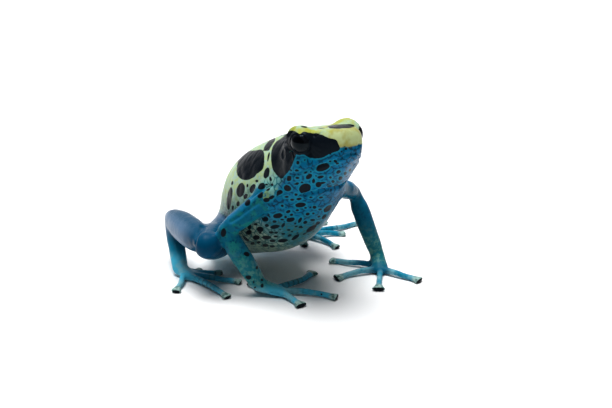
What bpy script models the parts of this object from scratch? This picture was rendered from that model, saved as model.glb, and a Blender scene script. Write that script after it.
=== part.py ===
"""A dyeing poison dart frog, sitting with its head raised, at life size.

The frog faces -Y, its left is +X and it stands on the plane z = 0. Sizes below are millimetres, and to_metres
turns them into the scene's metres. The trunk is one lofted form, parted at the neck and along the mouth, and each
limb is a row of lofted lengths parted at its joints by thin cuts.
"""

import math

import bmesh
import bpy
import numpy as np

# Driving dimensions, in millimetres
PART_GAP = 0.3
SHIFT = (-4.058, -0.259, 0.0)
EYE_RADIUS = 2.0
EYE_CENTRE = (4.35, -14.1, 27.6)
LID_RADII = (2.4, 2.9, 2.25)
LID_CENTRE = (4.25, -13.5, 27.85)
NOSTRIL_RADII = (0.3, 0.48, 0.3)
NOSTRIL_PLACE = (1.35, -20.8, 27.85)
LIP_RISE = 0.14
LIP_FADES_BELOW = 3.0
NOSE_POINT = 0.15
WELD_DISTANCE = 0.004

# The trunk from vent to snout: dorsal point (y, z), ventral point (y, z), half width, squareness, mouth height
TRUNK = (
    (14.3, 7.0, 13.8, 4.3, 1.8, 2.0, 0.0),
    (13.9, 9.7, 12.3, 2.2, 4.0, 2.0, 0.0),
    (12.8, 13.2, 9.9, 1.3, 5.4, 2.0, 0.0),
    (11.0, 16.8, 7.0, 2.1, 6.4, 2.0, 0.0),
    (8.4, 19.8, 3.7, 3.3, 7.4, 2.1, 0.0),
    (5.0, 22.2, 0.3, 4.5, 8.1, 2.1, 0.0),
    (1.2, 24.1, -3.0, 5.9, 8.2, 2.1, 0.0),
    (-2.4, 25.7, -6.2, 8.0, 7.8, 2.1, 0.0),
    (-5.7, 27.0, -9.3, 11.0, 7.1, 2.1, 0.0),
    (-8.5, 28.1, -11.8, 14.6, 6.3, 2.3, 0.42),
    (-10.7, 28.8, -13.6, 17.6, 6.2, 2.6, 0.38),
    (-12.8, 29.2, -15.3, 19.9, 5.9, 2.9, 0.33),
    (-15.1, 29.7, -17.1, 21.8, 5.1, 2.9, 0.28),
    (-17.2, 30.2, -18.6, 23.4, 3.9, 2.8, 0.22),
    (-19.0, 30.4, -19.8, 24.6, 2.9, 2.8, 0.18),
    (-20.2, 30.1, -20.5, 25.4, 2.2, 2.6, 0.15),
    (-20.8, 29.3, -20.9, 26.2, 1.4, 2.3, 0.15),
)
NECK_STATION = 9.0
NECK_HALF_GAP = 0.065
TRUNK_SIDES = 32
SKULL_SIDES = 25
JAW_SIDES = 17

# Limb joints (x, y, z), with the frog's right at -X
RIGHT_ARM = {
    "shoulder": (-4.9, -8.6, 19.1),
    "elbow": (-12.2, -3.05, 11.5),
    "wrist": (-7.4, -5.4, 1.9),
    "palm": (-4.3, -7.7, 0.68),
}
LEFT_ARM = {
    "shoulder": (4.6, -8.8, 17.7),
    "elbow": (12.9, -3.4, 13.9),
    "wrist": (16.4, -5.9, 2.3),
    "palm": (15.0, -8.8, 0.68),
}
RIGHT_LEG = {
    "hip": (-4.0, 12.0, 4.7),
    "knee": (-14.7, -1.3, 9.0),
    "heel": (-11.4, 18.0, 7.7),
    "ankle": (-14.3, 9.4, 1.1),
    "foot": (-13.8, 6.8, 0.68),
}
LEFT_LEG = {
    "hip": (4.0, 12.0, 5.6),
    "knee": (12.0, 2.0, 12.6),
    "heel": (11.3, 20.0, 9.4),
    "ankle": (13.4, 14.4, 1.1),
    "foot": (15.3, 14.0, 0.68),
}

# Girths of a limb's length: share of the way to its outer joint, half width, half height
UPPER_ARM_GIRTHS = ((0.0, 2.5, 2.5), (0.4, 1.9, 1.9), (0.75, 1.65, 1.65), (1.0, 1.45, 1.5))
FOREARM_GIRTHS = ((0.0, 1.45, 1.5), (0.35, 1.65, 1.7), (0.7, 1.55, 1.6), (1.0, 1.35, 1.4))
PALM_GIRTHS = ((0.0, 1.35, 1.4), (0.5, 1.5, 1.0), (1.0, 1.3, 0.75))
THIGH_GIRTHS = ((0.0, 3.6, 3.6), (0.35, 3.2, 3.2), (0.7, 2.95, 3.0), (1.0, 2.2, 2.3))
SHANK_GIRTHS = ((0.0, 1.6, 1.7), (0.3, 2.45, 2.5), (0.65, 2.45, 2.5), (1.0, 1.6, 1.65))
TARSUS_GIRTHS = ((0.0, 1.5, 1.6), (0.5, 1.5, 1.5), (1.0, 1.35, 1.15))
FOOT_GIRTHS = ((0.0, 1.15, 1.1), (1.0, 1.2, 0.75))
# The left arm is stretched, and its two long pieces are slimmer by this share
LEFT_ARM_SLIMNESS = 0.82

# Digit from its root: share of the length, height of the centre, half width, half height, share of the bow
DIGIT_SHAPE = ((0.0, 0.72, 0.60, 0.62, 0.0), (0.3, 0.80, 0.52, 0.55, 0.8), (0.6, 0.62, 0.50, 0.50, 1.0))
# Disc of a finger: distance to the tip, height of the centre, half width, half height, share of the bow
DISC_SHAPE = ((1.9, 0.52, 0.56, 0.50, 0.4), (0.95, 0.42, 0.95, 0.47, 0.1), (0.48, 0.42, 1.22, 0.48, 0.0))
TOE_DISC_SHARE = 0.78
LEAST_STEP = 0.3
CAP_LEANS = (75, 50, 25)

# Digits: name, root (x, y), tip (x, y), sideways bow
RIGHT_FINGERS = (
    ("finger_1", (-6.9, -4.9), (-6.2, -0.9), 0.2),
    ("finger_2", (-4.9, -5.9), (5.3, -2.5), -0.9),
    ("finger_3", (-4.0, -7.5), (2.5, -14.0), 0.5),
    ("finger_4", (-4.7, -8.0), (-4.3, -13.8), 0.0),
)
LEFT_FINGERS = (
    ("finger_1", (15.9, -6.2), (10.8, 0.8), 0.3),
    ("finger_2", (14.6, -7.9), (6.7, -6.8), -0.3),
    ("finger_3", (14.7, -9.0), (9.9, -15.0), 0.0),
    ("finger_4", (15.6, -8.9), (18.4, -15.7), -0.2),
)
RIGHT_TOES = (
    ("toe_1", (-13.5, 8.6), (-10.3, 9.0), 0.1),
    ("toe_2", (-13.3, 7.9), (-7.9, 6.0), -0.3),
    ("toe_3", (-13.0, 6.9), (-7.4, 0.3), -0.3),
    ("toe_4", (-13.9, 6.5), (-12.5, -4.2), 0.3),
    ("toe_5", (-14.6, 7.9), (-18.7, 2.6), 0.3),
)
LEFT_TOES = (
    ("toe_1", (13.8, 13.7), (11.0, 9.4), 0.2),
    ("toe_2", (14.4, 13.1), (15.8, 5.4), 0.4),
    ("toe_3", (15.4, 13.0), (21.4, 10.9), 0.3),
    ("toe_4", (16.0, 14.3), (27.3, 14.5), -0.5),
    ("toe_5", (14.9, 14.7), (22.0, 18.8), 0.3),
)

# Colours and finishes: red, green, blue, roughness
COLOURS = {
    "back": (0.55, 0.62, 0.22, 0.35),
    "throat": (0.01, 0.25, 0.42, 0.35),
    "limb": (0.01, 0.22, 0.33, 0.35),
    "digit": (0.05, 0.33, 0.40, 0.4),
    "eye": (0.01, 0.01, 0.012, 0.08),
}


def curve_through(rows, count):
    """Catmull-Rom curve through the rows, read at count even steps from the first row to the last."""
    rows = np.asarray(rows, float)
    padded = np.vstack([2 * rows[0] - rows[1], rows, 2 * rows[-1] - rows[-2]])
    along = np.linspace(0, len(rows) - 1, count)
    return catmull_rom(padded, along)


def catmull_rom(padded, along):
    """The curve at each place in along, where padded holds the rows with one more at either end."""
    start = np.clip(along.astype(int), 0, len(padded) - 4)
    t = (along - start)[:, None]
    p0, p1, p2, p3 = (padded[start + k] for k in range(4))
    return 0.5 * (
        2 * p1 + (p2 - p0) * t + (2 * p0 - 5 * p1 + 4 * p2 - p3) * t**2 + (3 * p1 - 3 * p2 + p3 - p0) * t**3
    )


def trunk_rows(along):
    rows = np.asarray(TRUNK)
    padded = np.vstack([2 * rows[0] - rows[1], rows, 2 * rows[-1] - rows[-2]])
    return catmull_rom(padded, np.asarray(along, float))


def signed_power(values, power):
    return np.sign(values) * np.abs(values) ** power


def trunk_ring(row, angles, grow=0.0):
    """Ring round the line from the ventral to the dorsal point: a superellipse above and an ellipse below."""
    dorsal = np.array([0.0, row[0], row[1]])
    ventral = np.array([0.0, row[2], row[3]])
    half = (dorsal - ventral) / 2
    half *= 1 + grow / np.linalg.norm(half)
    power = np.where(np.sin(angles) > 0, 2 / row[5], 1.0)
    across = signed_power(np.cos(angles), power) * (row[4] + grow)
    upward = signed_power(np.sin(angles), power)
    ring = (dorsal + ventral) / 2 + upward[:, None] * half
    ring[:, 0] = across
    return ring


def skin_over(rings, start_point, end_point):
    """Closed mesh over equal rings: quads between them and a fan to a point at either end."""
    count = len(rings[0])
    points = np.vstack([*rings, start_point, end_point])
    first_tip = count * len(rings)
    faces = []
    for ring in range(len(rings) - 1):
        for side in range(count):
            a = ring * count + side
            b = ring * count + (side + 1) % count
            faces.append((a, b, b + count, a + count))
    for side in range(count):
        after = (side + 1) % count
        last = count * (len(rings) - 1)
        faces.append((first_tip, after, side))
        faces.append((first_tip + 1, last + side, last + after))
    return points, faces


def to_metres(points):
    return (np.asarray(points, float) + SHIFT) * 0.001


def make_object(name, points, faces, colour):
    mesh = bpy.data.meshes.new(name)
    mesh.from_pydata(to_metres(points).tolist(), [], faces)
    tidy_mesh(mesh)
    built = bpy.data.objects.new(name, mesh)
    bpy.context.scene.collection.objects.link(built)
    if colour:
        mesh.materials.append(make_material(name, COLOURS[colour]))
    return built


def tidy_mesh(mesh):
    """Welds doubles, and turns every face outwards."""
    work = bmesh.new()
    work.from_mesh(mesh)
    bmesh.ops.remove_doubles(work, verts=work.verts, dist=WELD_DISTANCE * 0.001)
    bmesh.ops.recalc_face_normals(work, faces=work.faces)
    work.to_mesh(mesh)
    work.free()
    mesh.shade_smooth()


def make_material(name, colour):
    material = bpy.data.materials.new(name)
    material.use_nodes = True
    shader = material.node_tree.nodes["Principled BSDF"]
    shader.inputs["Base Color"].default_value = (*colour[:3], 1.0)
    shader.inputs["Roughness"].default_value = colour[3]
    return material


def cut_away(built, point, normal):
    """Removes what lies beyond the plane that normal points out of, and closes the cut."""
    work = bmesh.new()
    work.from_mesh(built.data)
    place = to_metres(point)
    everything = [*work.verts, *work.edges, *work.faces]
    cut = bmesh.ops.bisect_plane(
        work, geom=everything, dist=1e-7, plane_co=place, plane_no=normal, clear_outer=True
    )
    rim = [part for part in cut["geom_cut"] if isinstance(part, bmesh.types.BMEdge)]
    if rim:
        bmesh.ops.holes_fill(work, edges=[edge for edge in work.edges if edge.is_boundary], sides=0)
    bmesh.ops.triangulate(work, faces=[face for face in work.faces if len(face.verts) > 4])
    bmesh.ops.recalc_face_normals(work, faces=work.faces)
    work.to_mesh(built.data)
    work.free()


def combine(built, others, operation):
    """Joins the others to the object or takes them out of it, then removes them."""
    group = bpy.data.collections.new("tools")
    bpy.context.scene.collection.children.link(group)
    for other in others:
        group.objects.link(other)
        other.hide_render = True
        other.display_type = "WIRE"
    modifier = built.modifiers.new(operation, "BOOLEAN")
    modifier.operation = operation
    modifier.operand_type = "COLLECTION"
    modifier.collection = group
    modifier.solver = "EXACT"
    graph = bpy.context.evaluated_depsgraph_get()
    result = bpy.data.meshes.new_from_object(built.evaluated_get(graph))
    built.modifiers.clear()
    old = built.data
    built.data = result
    bpy.data.meshes.remove(old)
    for other in others:
        bpy.data.objects.remove(other)
    bpy.data.collections.remove(group)
    keep_largest(built)


def keep_largest(built):
    """Drops every loose scrap but the piece with the most faces."""
    work = bmesh.new()
    work.from_mesh(built.data)
    left = set(work.verts)
    pieces = []
    while left:
        reached = {left.pop()}
        front = list(reached)
        while front:
            for edge in front.pop().link_edges:
                for vertex in edge.verts:
                    if vertex in left:
                        left.remove(vertex)
                        reached.add(vertex)
                        front.append(vertex)
        pieces.append(reached)
    pieces.sort(key=len)
    loose = [vertex for piece in pieces[:-1] for vertex in piece]
    bmesh.ops.delete(work, geom=loose, context="VERTS")
    bmesh.ops.remove_doubles(work, verts=work.verts, dist=WELD_DISTANCE * 0.001)
    bmesh.ops.dissolve_degenerate(work, edges=work.edges, dist=WELD_DISTANCE * 0.001)
    work.to_mesh(built.data)
    work.free()


def level_floor(built):
    """Flattens the underside at the level of the floor."""
    if min(vertex.co.z for vertex in built.data.vertices) < 0:
        cut_away(built, (0, 0, 0), (0, 0, -1))


def loft_trunk(name, start, end, count, colour, grow=0.0):
    """The trunk between two stations, with flat or slightly domed ends."""
    angles = np.linspace(0, 2 * math.pi, TRUNK_SIDES, endpoint=False)
    rows = trunk_rows(np.linspace(start, end, count))
    rings = [trunk_ring(row, angles, grow) for row in rows]
    return make_object(name, *skin_over(rings, rings[0].mean(0), rings[-1].mean(0)), colour)


def head_ring(row, upper):
    """Half of a head ring: the skull above the mouth or the jaw below it, closed by a flat chord at the lips."""
    level = 2 * row[6] - 1
    length = math.hypot(row[0] - row[2], row[1] - row[3])
    level += PART_GAP / length * (1 if upper else -1)
    turn = math.asin(level)
    if upper:
        angles = np.linspace(turn, math.pi - turn, SKULL_SIDES)
    else:
        angles = np.linspace(math.pi - turn, 2 * math.pi + turn, JAW_SIDES)
    ring = trunk_ring(row, angles)
    from_lip = np.minimum(np.arange(len(angles)), np.arange(len(angles))[::-1])
    lip = LIP_RISE * min(1, row[4] / LIP_FADES_BELOW) * np.exp(-((from_lip - 0.6) ** 2))
    ring[:, 0] += np.sign(np.cos(angles)) * lip
    chord = np.linspace(0, 1, 8)[1:-1, None]
    return np.vstack([ring, ring[-1] + chord * (ring[0] - ring[-1])])


def loft_head(name, upper, colour):
    rows = trunk_rows(np.linspace(NECK_STATION + NECK_HALF_GAP, len(TRUNK) - 1, 18))
    rings = [head_ring(row, upper) for row in rows]
    nose = rings[-1].mean(0) + np.array([0.0, -NOSE_POINT, 0.0])
    return make_object(name, *skin_over(rings, rings[0].mean(0), nose), colour)


def ellipsoid(name, centre, radii, colour, around=16, upward=10):
    """Rings of latitude about the x axis, with a pole at either side."""
    turns = np.linspace(0, 2 * math.pi, around, endpoint=False)
    latitudes = np.linspace(-math.pi / 2, math.pi / 2, upward + 2)[1:-1]
    rings = []
    for latitude in latitudes:
        ring = np.empty((around, 3))
        ring[:, 0] = math.sin(latitude)
        ring[:, 1] = math.cos(latitude) * np.cos(turns)
        ring[:, 2] = math.cos(latitude) * np.sin(turns)
        rings.append(np.array(centre) + ring * radii)
    poles = [np.array(centre) + np.array([side * radii[0], 0, 0]) for side in (-1, 1)]
    return make_object(name, *skin_over(rings, *poles), colour)


def limb_rows(start, end, girths, slimness=1.0):
    """Rows of a limb's length: places between its joints, each with a half width and a half height."""
    start = np.array(start)
    way = np.array(end) - start
    return [(*(start + way * share), across * slimness, tall * slimness) for share, across, tall in girths]


def tube(name, rows, colour, sides=14, count=9, grow=0.0):
    """A limb's length: elliptic rings along a curve through the rows, with rounded ends."""
    rows = curve_through(rows, count)
    centres = rows[:, :3]
    across = rows[:, 3] + grow
    tall = rows[:, 4] + grow
    tangents = np.gradient(centres, axis=0)
    tangents /= np.linalg.norm(tangents, axis=1)[:, None]
    side = np.cross(tangents, (0, 0, 1))
    side /= np.linalg.norm(side, axis=1)[:, None]
    rise = np.cross(side, tangents)
    turns = np.linspace(0, 2 * math.pi, sides, endpoint=False)

    def ring_at(k, outward=0, degrees=0):
        lean = math.radians(degrees)
        centre = centres[k] + tangents[k] * outward * tall[k] * math.sin(lean)
        sideways = np.outer(np.cos(turns) * across[k] * math.cos(lean), side[k])
        upwards = np.outer(np.sin(turns) * tall[k] * math.cos(lean), rise[k])
        return centre + sideways + upwards

    rings = [ring_at(0, -1, degrees) for degrees in CAP_LEANS]
    rings += [ring_at(k) for k in range(count)]
    rings += [ring_at(count - 1, 1, degrees) for degrees in reversed(CAP_LEANS)]
    first_tip = centres[0] - tangents[0] * tall[0]
    last_tip = centres[-1] + tangents[-1] * tall[-1]
    return make_object(name, *skin_over(rings, first_tip, last_tip), colour)


def part_at_joint(joint, inner, inner_end, outer, outer_end):
    """Cuts two lengths apart by the plane that halves the angle of their joint, half a gap to either side."""
    joint = np.array(joint)
    inner_way = np.array(inner_end) - joint
    outer_way = np.array(outer_end) - joint
    normal = inner_way / np.linalg.norm(inner_way) - outer_way / np.linalg.norm(outer_way)
    normal /= np.linalg.norm(normal)
    cut_away(inner, joint + normal * PART_GAP / 2, -normal)
    cut_away(outer, joint - normal * PART_GAP / 2, normal)


def trunk_cutter():
    return loft_trunk("trunk_cutter", 0, NECK_STATION + 2, 24, None, PART_GAP)


def build_arm(side, joints, fingers, slimness=1.0):
    shoulder, elbow, wrist, palm = (joints[key] for key in ("shoulder", "elbow", "wrist", "palm"))
    palm_rows = limb_rows(wrist, palm, PALM_GIRTHS)
    upper_arm = tube(f"upper_arm_{side}", limb_rows(shoulder, elbow, UPPER_ARM_GIRTHS, slimness), "limb")
    forearm = tube(f"forearm_{side}", limb_rows(elbow, wrist, FOREARM_GIRTHS, slimness), "limb")
    hand = tube(f"hand_{side}", palm_rows, "limb", count=6)
    part_at_joint(elbow, upper_arm, shoulder, forearm, wrist)
    part_at_joint(wrist, forearm, elbow, hand, palm)
    combine(upper_arm, [trunk_cutter()], "DIFFERENCE")
    level_floor(forearm)
    level_floor(hand)
    build_digits(side, fingers, palm_rows, 1.0)


def build_leg(side, joints, toes):
    hip, knee, heel, ankle, foot = (joints[key] for key in ("hip", "knee", "heel", "ankle", "foot"))
    foot_rows = limb_rows(ankle, foot, FOOT_GIRTHS)
    thigh = tube(f"thigh_{side}", limb_rows(hip, knee, THIGH_GIRTHS), "limb")
    shank = tube(f"shank_{side}", limb_rows(knee, heel, SHANK_GIRTHS), "limb")
    tarsus = tube(f"tarsus_{side}", limb_rows(heel, ankle, TARSUS_GIRTHS), "limb", sides=12, count=6)
    foot_part = tube(f"foot_{side}", foot_rows, "limb", sides=12, count=4)
    part_at_joint(knee, thigh, hip, shank, heel)
    part_at_joint(heel, shank, knee, tarsus, ankle)
    part_at_joint(ankle, tarsus, heel, foot_part, foot)
    combine(thigh, [trunk_cutter()], "DIFFERENCE")
    level_floor(tarsus)
    level_floor(foot_part)
    build_digits(side, toes, foot_rows, TOE_DISC_SHARE)


def digit_rows(root, tip, bow, disc_share):
    """Rows of a digit that bows sideways on its way to the disc at its tip."""
    root = np.array(root)
    way = np.array(tip) - root
    length = np.linalg.norm(way)
    sideways = np.array([-way[1], way[0]]) / length
    disc_starts = 1 - (DISC_SHAPE[0][0] + LEAST_STEP) / length
    shape = [row for row in DIGIT_SHAPE if row[0] < disc_starts]
    for to_tip, height, across, tall, bent in DISC_SHAPE:
        shape.append((1 - to_tip / length, height, across * disc_share, tall, bent))
    rows = []
    for share, height, across, tall, bent in shape:
        place = root + way * share + sideways * bow * bent
        rows.append((*place, height, across, tall))
    return rows


def build_digits(side, digits, root_rows, disc_share):
    for name, root, tip, bow in digits:
        digit = tube(f"{name}_{side}", digit_rows(root, tip, bow, disc_share), "digit", sides=8, count=10)
        cutter = tube("root_cutter", root_rows, None, count=6, grow=PART_GAP)
        combine(digit, [cutter], "DIFFERENCE")
        level_floor(digit)


def build_head():
    head = loft_head("head", True, "back")
    loft_head("lower_jaw", False, "throat")
    lids = []
    pits = []
    for side, sign in (("right", -1), ("left", 1)):
        mirror = np.array([sign, 1, 1])
        lids.append(ellipsoid(f"lid_{side}", LID_CENTRE * mirror, LID_RADII, None))
        pits.append(ellipsoid(f"socket_{side}", EYE_CENTRE * mirror, (EYE_RADIUS + PART_GAP,) * 3, None))
        pits.append(ellipsoid(f"nostril_{side}", NOSTRIL_PLACE * mirror, NOSTRIL_RADII, None, 8, 4))
        ellipsoid(f"eye_{side}", EYE_CENTRE * mirror, (EYE_RADIUS,) * 3, "eye")
    combine(head, lids, "UNION")
    combine(head, pits, "DIFFERENCE")


def clear_scene():
    for old in list(bpy.data.objects):
        bpy.data.objects.remove(old)


def main():
    clear_scene()
    loft_trunk("torso", 0, NECK_STATION - NECK_HALF_GAP, 20, "back")
    build_head()
    build_arm("right", RIGHT_ARM, RIGHT_FINGERS)
    build_arm("left", LEFT_ARM, LEFT_FINGERS, LEFT_ARM_SLIMNESS)
    build_leg("right", RIGHT_LEG, RIGHT_TOES)
    build_leg("left", LEFT_LEG, LEFT_TOES)


main()
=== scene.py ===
import math

import bpy
import numpy as np
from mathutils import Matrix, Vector
from mathutils.bvhtree import BVHTree

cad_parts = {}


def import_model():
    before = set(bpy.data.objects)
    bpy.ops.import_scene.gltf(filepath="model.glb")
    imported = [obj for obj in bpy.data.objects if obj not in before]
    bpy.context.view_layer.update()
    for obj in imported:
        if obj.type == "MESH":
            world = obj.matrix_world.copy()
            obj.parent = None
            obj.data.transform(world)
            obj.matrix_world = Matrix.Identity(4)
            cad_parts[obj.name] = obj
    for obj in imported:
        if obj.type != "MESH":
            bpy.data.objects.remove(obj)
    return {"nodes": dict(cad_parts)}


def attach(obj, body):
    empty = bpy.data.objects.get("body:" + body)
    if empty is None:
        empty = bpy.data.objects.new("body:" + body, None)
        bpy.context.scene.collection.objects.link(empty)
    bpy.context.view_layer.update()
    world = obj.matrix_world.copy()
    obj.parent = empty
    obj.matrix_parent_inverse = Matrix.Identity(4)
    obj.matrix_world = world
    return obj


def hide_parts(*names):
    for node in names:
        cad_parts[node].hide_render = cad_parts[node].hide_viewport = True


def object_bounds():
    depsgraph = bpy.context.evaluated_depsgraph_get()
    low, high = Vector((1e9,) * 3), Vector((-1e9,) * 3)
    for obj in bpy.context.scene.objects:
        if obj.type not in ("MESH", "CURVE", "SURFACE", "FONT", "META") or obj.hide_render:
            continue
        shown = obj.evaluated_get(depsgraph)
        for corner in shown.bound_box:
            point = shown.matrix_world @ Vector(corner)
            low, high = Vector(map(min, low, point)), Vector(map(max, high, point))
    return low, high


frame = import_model()
cad_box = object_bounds()

# Camera. A long lens at the frog's own height, a little above and to the right of its head, as the
# photograph has it. Sizes from here on are millimetres about the point under the frog's chest, and
# to_metres brings them into the frame, where the middle of the box stands over the origin.
SHIFT = np.array([-4.058, -0.259, 0.0])
IMAGE_SIZE = (612, 408)
SENSOR_WIDTH = 36.0
CAMERA_AZIMUTH = math.radians(-33)
CAMERA_ELEVATION = math.radians(18)
CAMERA_DISTANCE = 190.0
CAMERA_TARGET = np.array([5.3, 0.0, 12.1])
PIXELS_PER_MM = 5.84
FOCAL_PIXELS = PIXELS_PER_MM * CAMERA_DISTANCE


def to_metres(points):
    """Own millimetres in the frame's metres: shifted, then divided by a thousand."""
    return (np.asarray(points, float) + SHIFT) * 0.001


camera_back = np.array(
    [
        math.sin(CAMERA_AZIMUTH) * math.cos(CAMERA_ELEVATION),
        -math.cos(CAMERA_AZIMUTH) * math.cos(CAMERA_ELEVATION),
        math.sin(CAMERA_ELEVATION),
    ]
)
camera_right = np.array([math.cos(CAMERA_AZIMUTH), math.sin(CAMERA_AZIMUTH), 0.0])
camera_up = np.cross(camera_back, camera_right)
camera_place = CAMERA_TARGET + CAMERA_DISTANCE * camera_back

camera_data = bpy.data.cameras.new("camera")
camera_data.sensor_width = SENSOR_WIDTH
camera_data.lens = FOCAL_PIXELS * SENSOR_WIDTH / IMAGE_SIZE[0]
camera_data.clip_start = 0.01
camera_data.clip_end = 10.0
camera = bpy.data.objects.new("camera", camera_data)
camera.location = to_metres(camera_place)
camera.rotation_mode = "QUATERNION"
camera.rotation_quaternion = Vector(-camera_back).to_track_quat("-Z", "Y")
bpy.context.scene.collection.objects.link(camera)
bpy.context.scene.camera = camera


# Trunk. Body and head are one loft from vent to snout: each row gives the dorsal point (y, z), the ventral
# point (y, z), the half width, how square the upper side is, and the height of the mouth as a share of the
# section.
TRUNK = (
    (14.3, 7.0, 13.8, 4.3, 1.8, 2.0, 0.0),
    (13.9, 9.7, 12.3, 2.2, 4.0, 2.0, 0.0),
    (12.8, 13.2, 9.9, 1.3, 5.4, 2.0, 0.0),
    (11.0, 16.8, 7.0, 2.1, 6.4, 2.0, 0.0),
    (8.4, 19.8, 3.7, 3.3, 7.4, 2.1, 0.0),
    (5.0, 22.2, 0.3, 4.5, 8.1, 2.1, 0.0),
    (1.2, 24.1, -3.0, 5.9, 8.2, 2.1, 0.0),
    (-2.4, 25.7, -6.2, 8.0, 7.8, 2.1, 0.0),
    (-5.7, 27.0, -9.3, 11.0, 7.1, 2.1, 0.0),
    (-8.5, 28.1, -11.8, 14.6, 6.3, 2.3, 0.42),
    (-10.7, 28.8, -13.6, 17.6, 6.2, 2.6, 0.38),
    (-12.8, 29.2, -15.3, 19.9, 5.9, 2.9, 0.33),
    (-15.1, 29.7, -17.1, 21.8, 5.1, 2.9, 0.28),
    (-17.2, 30.2, -18.6, 23.4, 3.9, 2.8, 0.22),
    (-19.0, 30.4, -19.8, 24.6, 2.9, 2.8, 0.18),
    (-20.2, 30.1, -20.5, 25.4, 2.2, 2.6, 0.15),
    (-20.8, 29.3, -20.9, 26.2, 1.4, 2.3, 0.15),
)
TRUNK_RINGS = 220
TRUNK_SIDES = 120
NOSE_POINT = 0.15


def curve_through(rows, count):
    """Catmull-Rom curve through the rows: each cubic piece joins two, sloped by the rows beside them."""
    rows = np.asarray(rows, float)
    padded = np.vstack([2 * rows[0] - rows[1], rows, 2 * rows[-1] - rows[-2]])
    along = np.linspace(0, len(rows) - 1, count)
    start = np.clip(along.astype(int), 0, len(rows) - 2)
    t = (along - start)[:, None]
    p0, p1, p2, p3 = (padded[start + k] for k in range(4))
    bend = 2 * p0 - 5 * p1 + 4 * p2 - p3
    twist = 3 * p1 - 3 * p2 + p3 - p0
    return 0.5 * (2 * p1 + (p2 - p0) * t + bend * t**2 + twist * t**3)


def signed_power(values, power):
    """Power of the size of each value, with its sign kept."""
    return np.sign(values) * np.abs(values) ** power


def trunk_points(rows, angles):
    """Sections about the line from the ventral to the dorsal point.

    Across is half width x cos, and up is half height x sin: both to the power 2 / squareness above, where the
    section is a superellipse, and plain below, where it is an ellipse.
    """
    nothing = np.zeros(len(rows))
    dorsal = np.stack([nothing, rows[:, 0], rows[:, 1]], 1)
    ventral = np.stack([nothing, rows[:, 2], rows[:, 3]], 1)
    power = np.where(np.sin(angles) > 0, 2 / rows[:, 5:6], 1.0)
    across = signed_power(np.cos(angles), power) * rows[:, 4:5]
    upward = signed_power(np.sin(angles), power)
    points = (dorsal + ventral)[:, None, :] / 2 + upward[:, :, None] * (dorsal - ventral)[:, None, :] / 2
    points[:, :, 0] = across
    return points


def closed_loft(rings, first_tip, last_tip):
    """Closed mesh over a grid of rings: quads between neighbours, and a fan to a tip at either end.

    Returns the points, the quads and the fans' triangles.
    """
    count, sides = rings.shape[:2]
    points = np.vstack([rings.reshape(-1, 3), first_tip, last_tip])
    here = (np.arange(count - 1)[:, None] * sides + np.arange(sides)).ravel()
    beside = (np.arange(count - 1)[:, None] * sides + (np.arange(sides) + 1) % sides).ravel()
    quads = np.stack([here, beside, beside + sides, here + sides], 1)
    side = np.arange(sides)
    after = (side + 1) % sides
    last = sides * (count - 1)
    first_fan = np.stack([np.full(sides, count * sides), after, side], 1)
    last_fan = np.stack([np.full(sides, count * sides + 1), last + side, last + after], 1)
    return points, quads, np.vstack([first_fan, last_fan])


trunk_curve = curve_through(TRUNK, TRUNK_RINGS)
trunk_angles = np.linspace(0, 2 * math.pi, TRUNK_SIDES, endpoint=False)
trunk_rings = trunk_points(trunk_curve, trunk_angles)
nose = trunk_rings[-1].mean(0) - np.array([0.0, NOSE_POINT, 0.0])
flesh = [closed_loft(trunk_rings, trunk_rings[0].mean(0), nose)]


# Lids. A dome of skin stands over each eye, so that the crown between them is a shallow saddle. Each dome
# is a stretched ball, sunk with the eye into the side of the head.
LID_RADII = np.array([2.4, 2.9, 2.25])
LID_CENTRE = np.array([4.25, -13.5, 27.85])


def ball(centre, radii, around=64, levels=40):
    """Sphere stretched to three radii: latitude runs from pole to pole along x and longitude round it."""
    latitude = np.linspace(-math.pi / 2, math.pi / 2, levels + 2)[1:-1, None]
    longitude = np.linspace(0, 2 * math.pi, around, endpoint=False)[None, :]
    level = np.sin(latitude) + 0 * longitude
    rings = np.stack([level, np.cos(latitude) * np.cos(longitude), np.cos(latitude) * np.sin(longitude)], 2)
    pole = np.array([radii[0], 0.0, 0.0])
    return closed_loft(centre + rings * radii, centre - pole, centre + pole)


for sign in (-1, 1):
    flesh.append(ball(LID_CENTRE * (sign, 1, 1), LID_RADII))


# Limbs. Arms and legs are lofts from joint to joint, thick where the muscles are. The right leg is folded
# under the flank, the left one hides behind the belly, and the arms prop the chest up like struts.
ARMS = {
    "right": ((-4.9, -8.6, 19.1), (-12.2, -3.05, 11.5), (-7.4, -5.4, 1.9), (-4.3, -7.7, 0.68)),
    "left": ((4.6, -8.8, 17.7), (12.9, -3.4, 13.9), (16.4, -5.9, 2.3), (15.0, -8.8, 0.68)),
}
LEGS = {
    "right": ((-4, 12, 4.7), (-14.7, -1.3, 9.0), (-11.4, 18.0, 7.7), (-14.3, 9.4, 1.1), (-13.8, 6.8, 0.68)),
    "left": ((4, 12, 5.6), (12.0, 2.0, 12.6), (11.3, 20.0, 9.4), (13.4, 14.4, 1.1), (15.3, 14.0, 0.68)),
}
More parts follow.
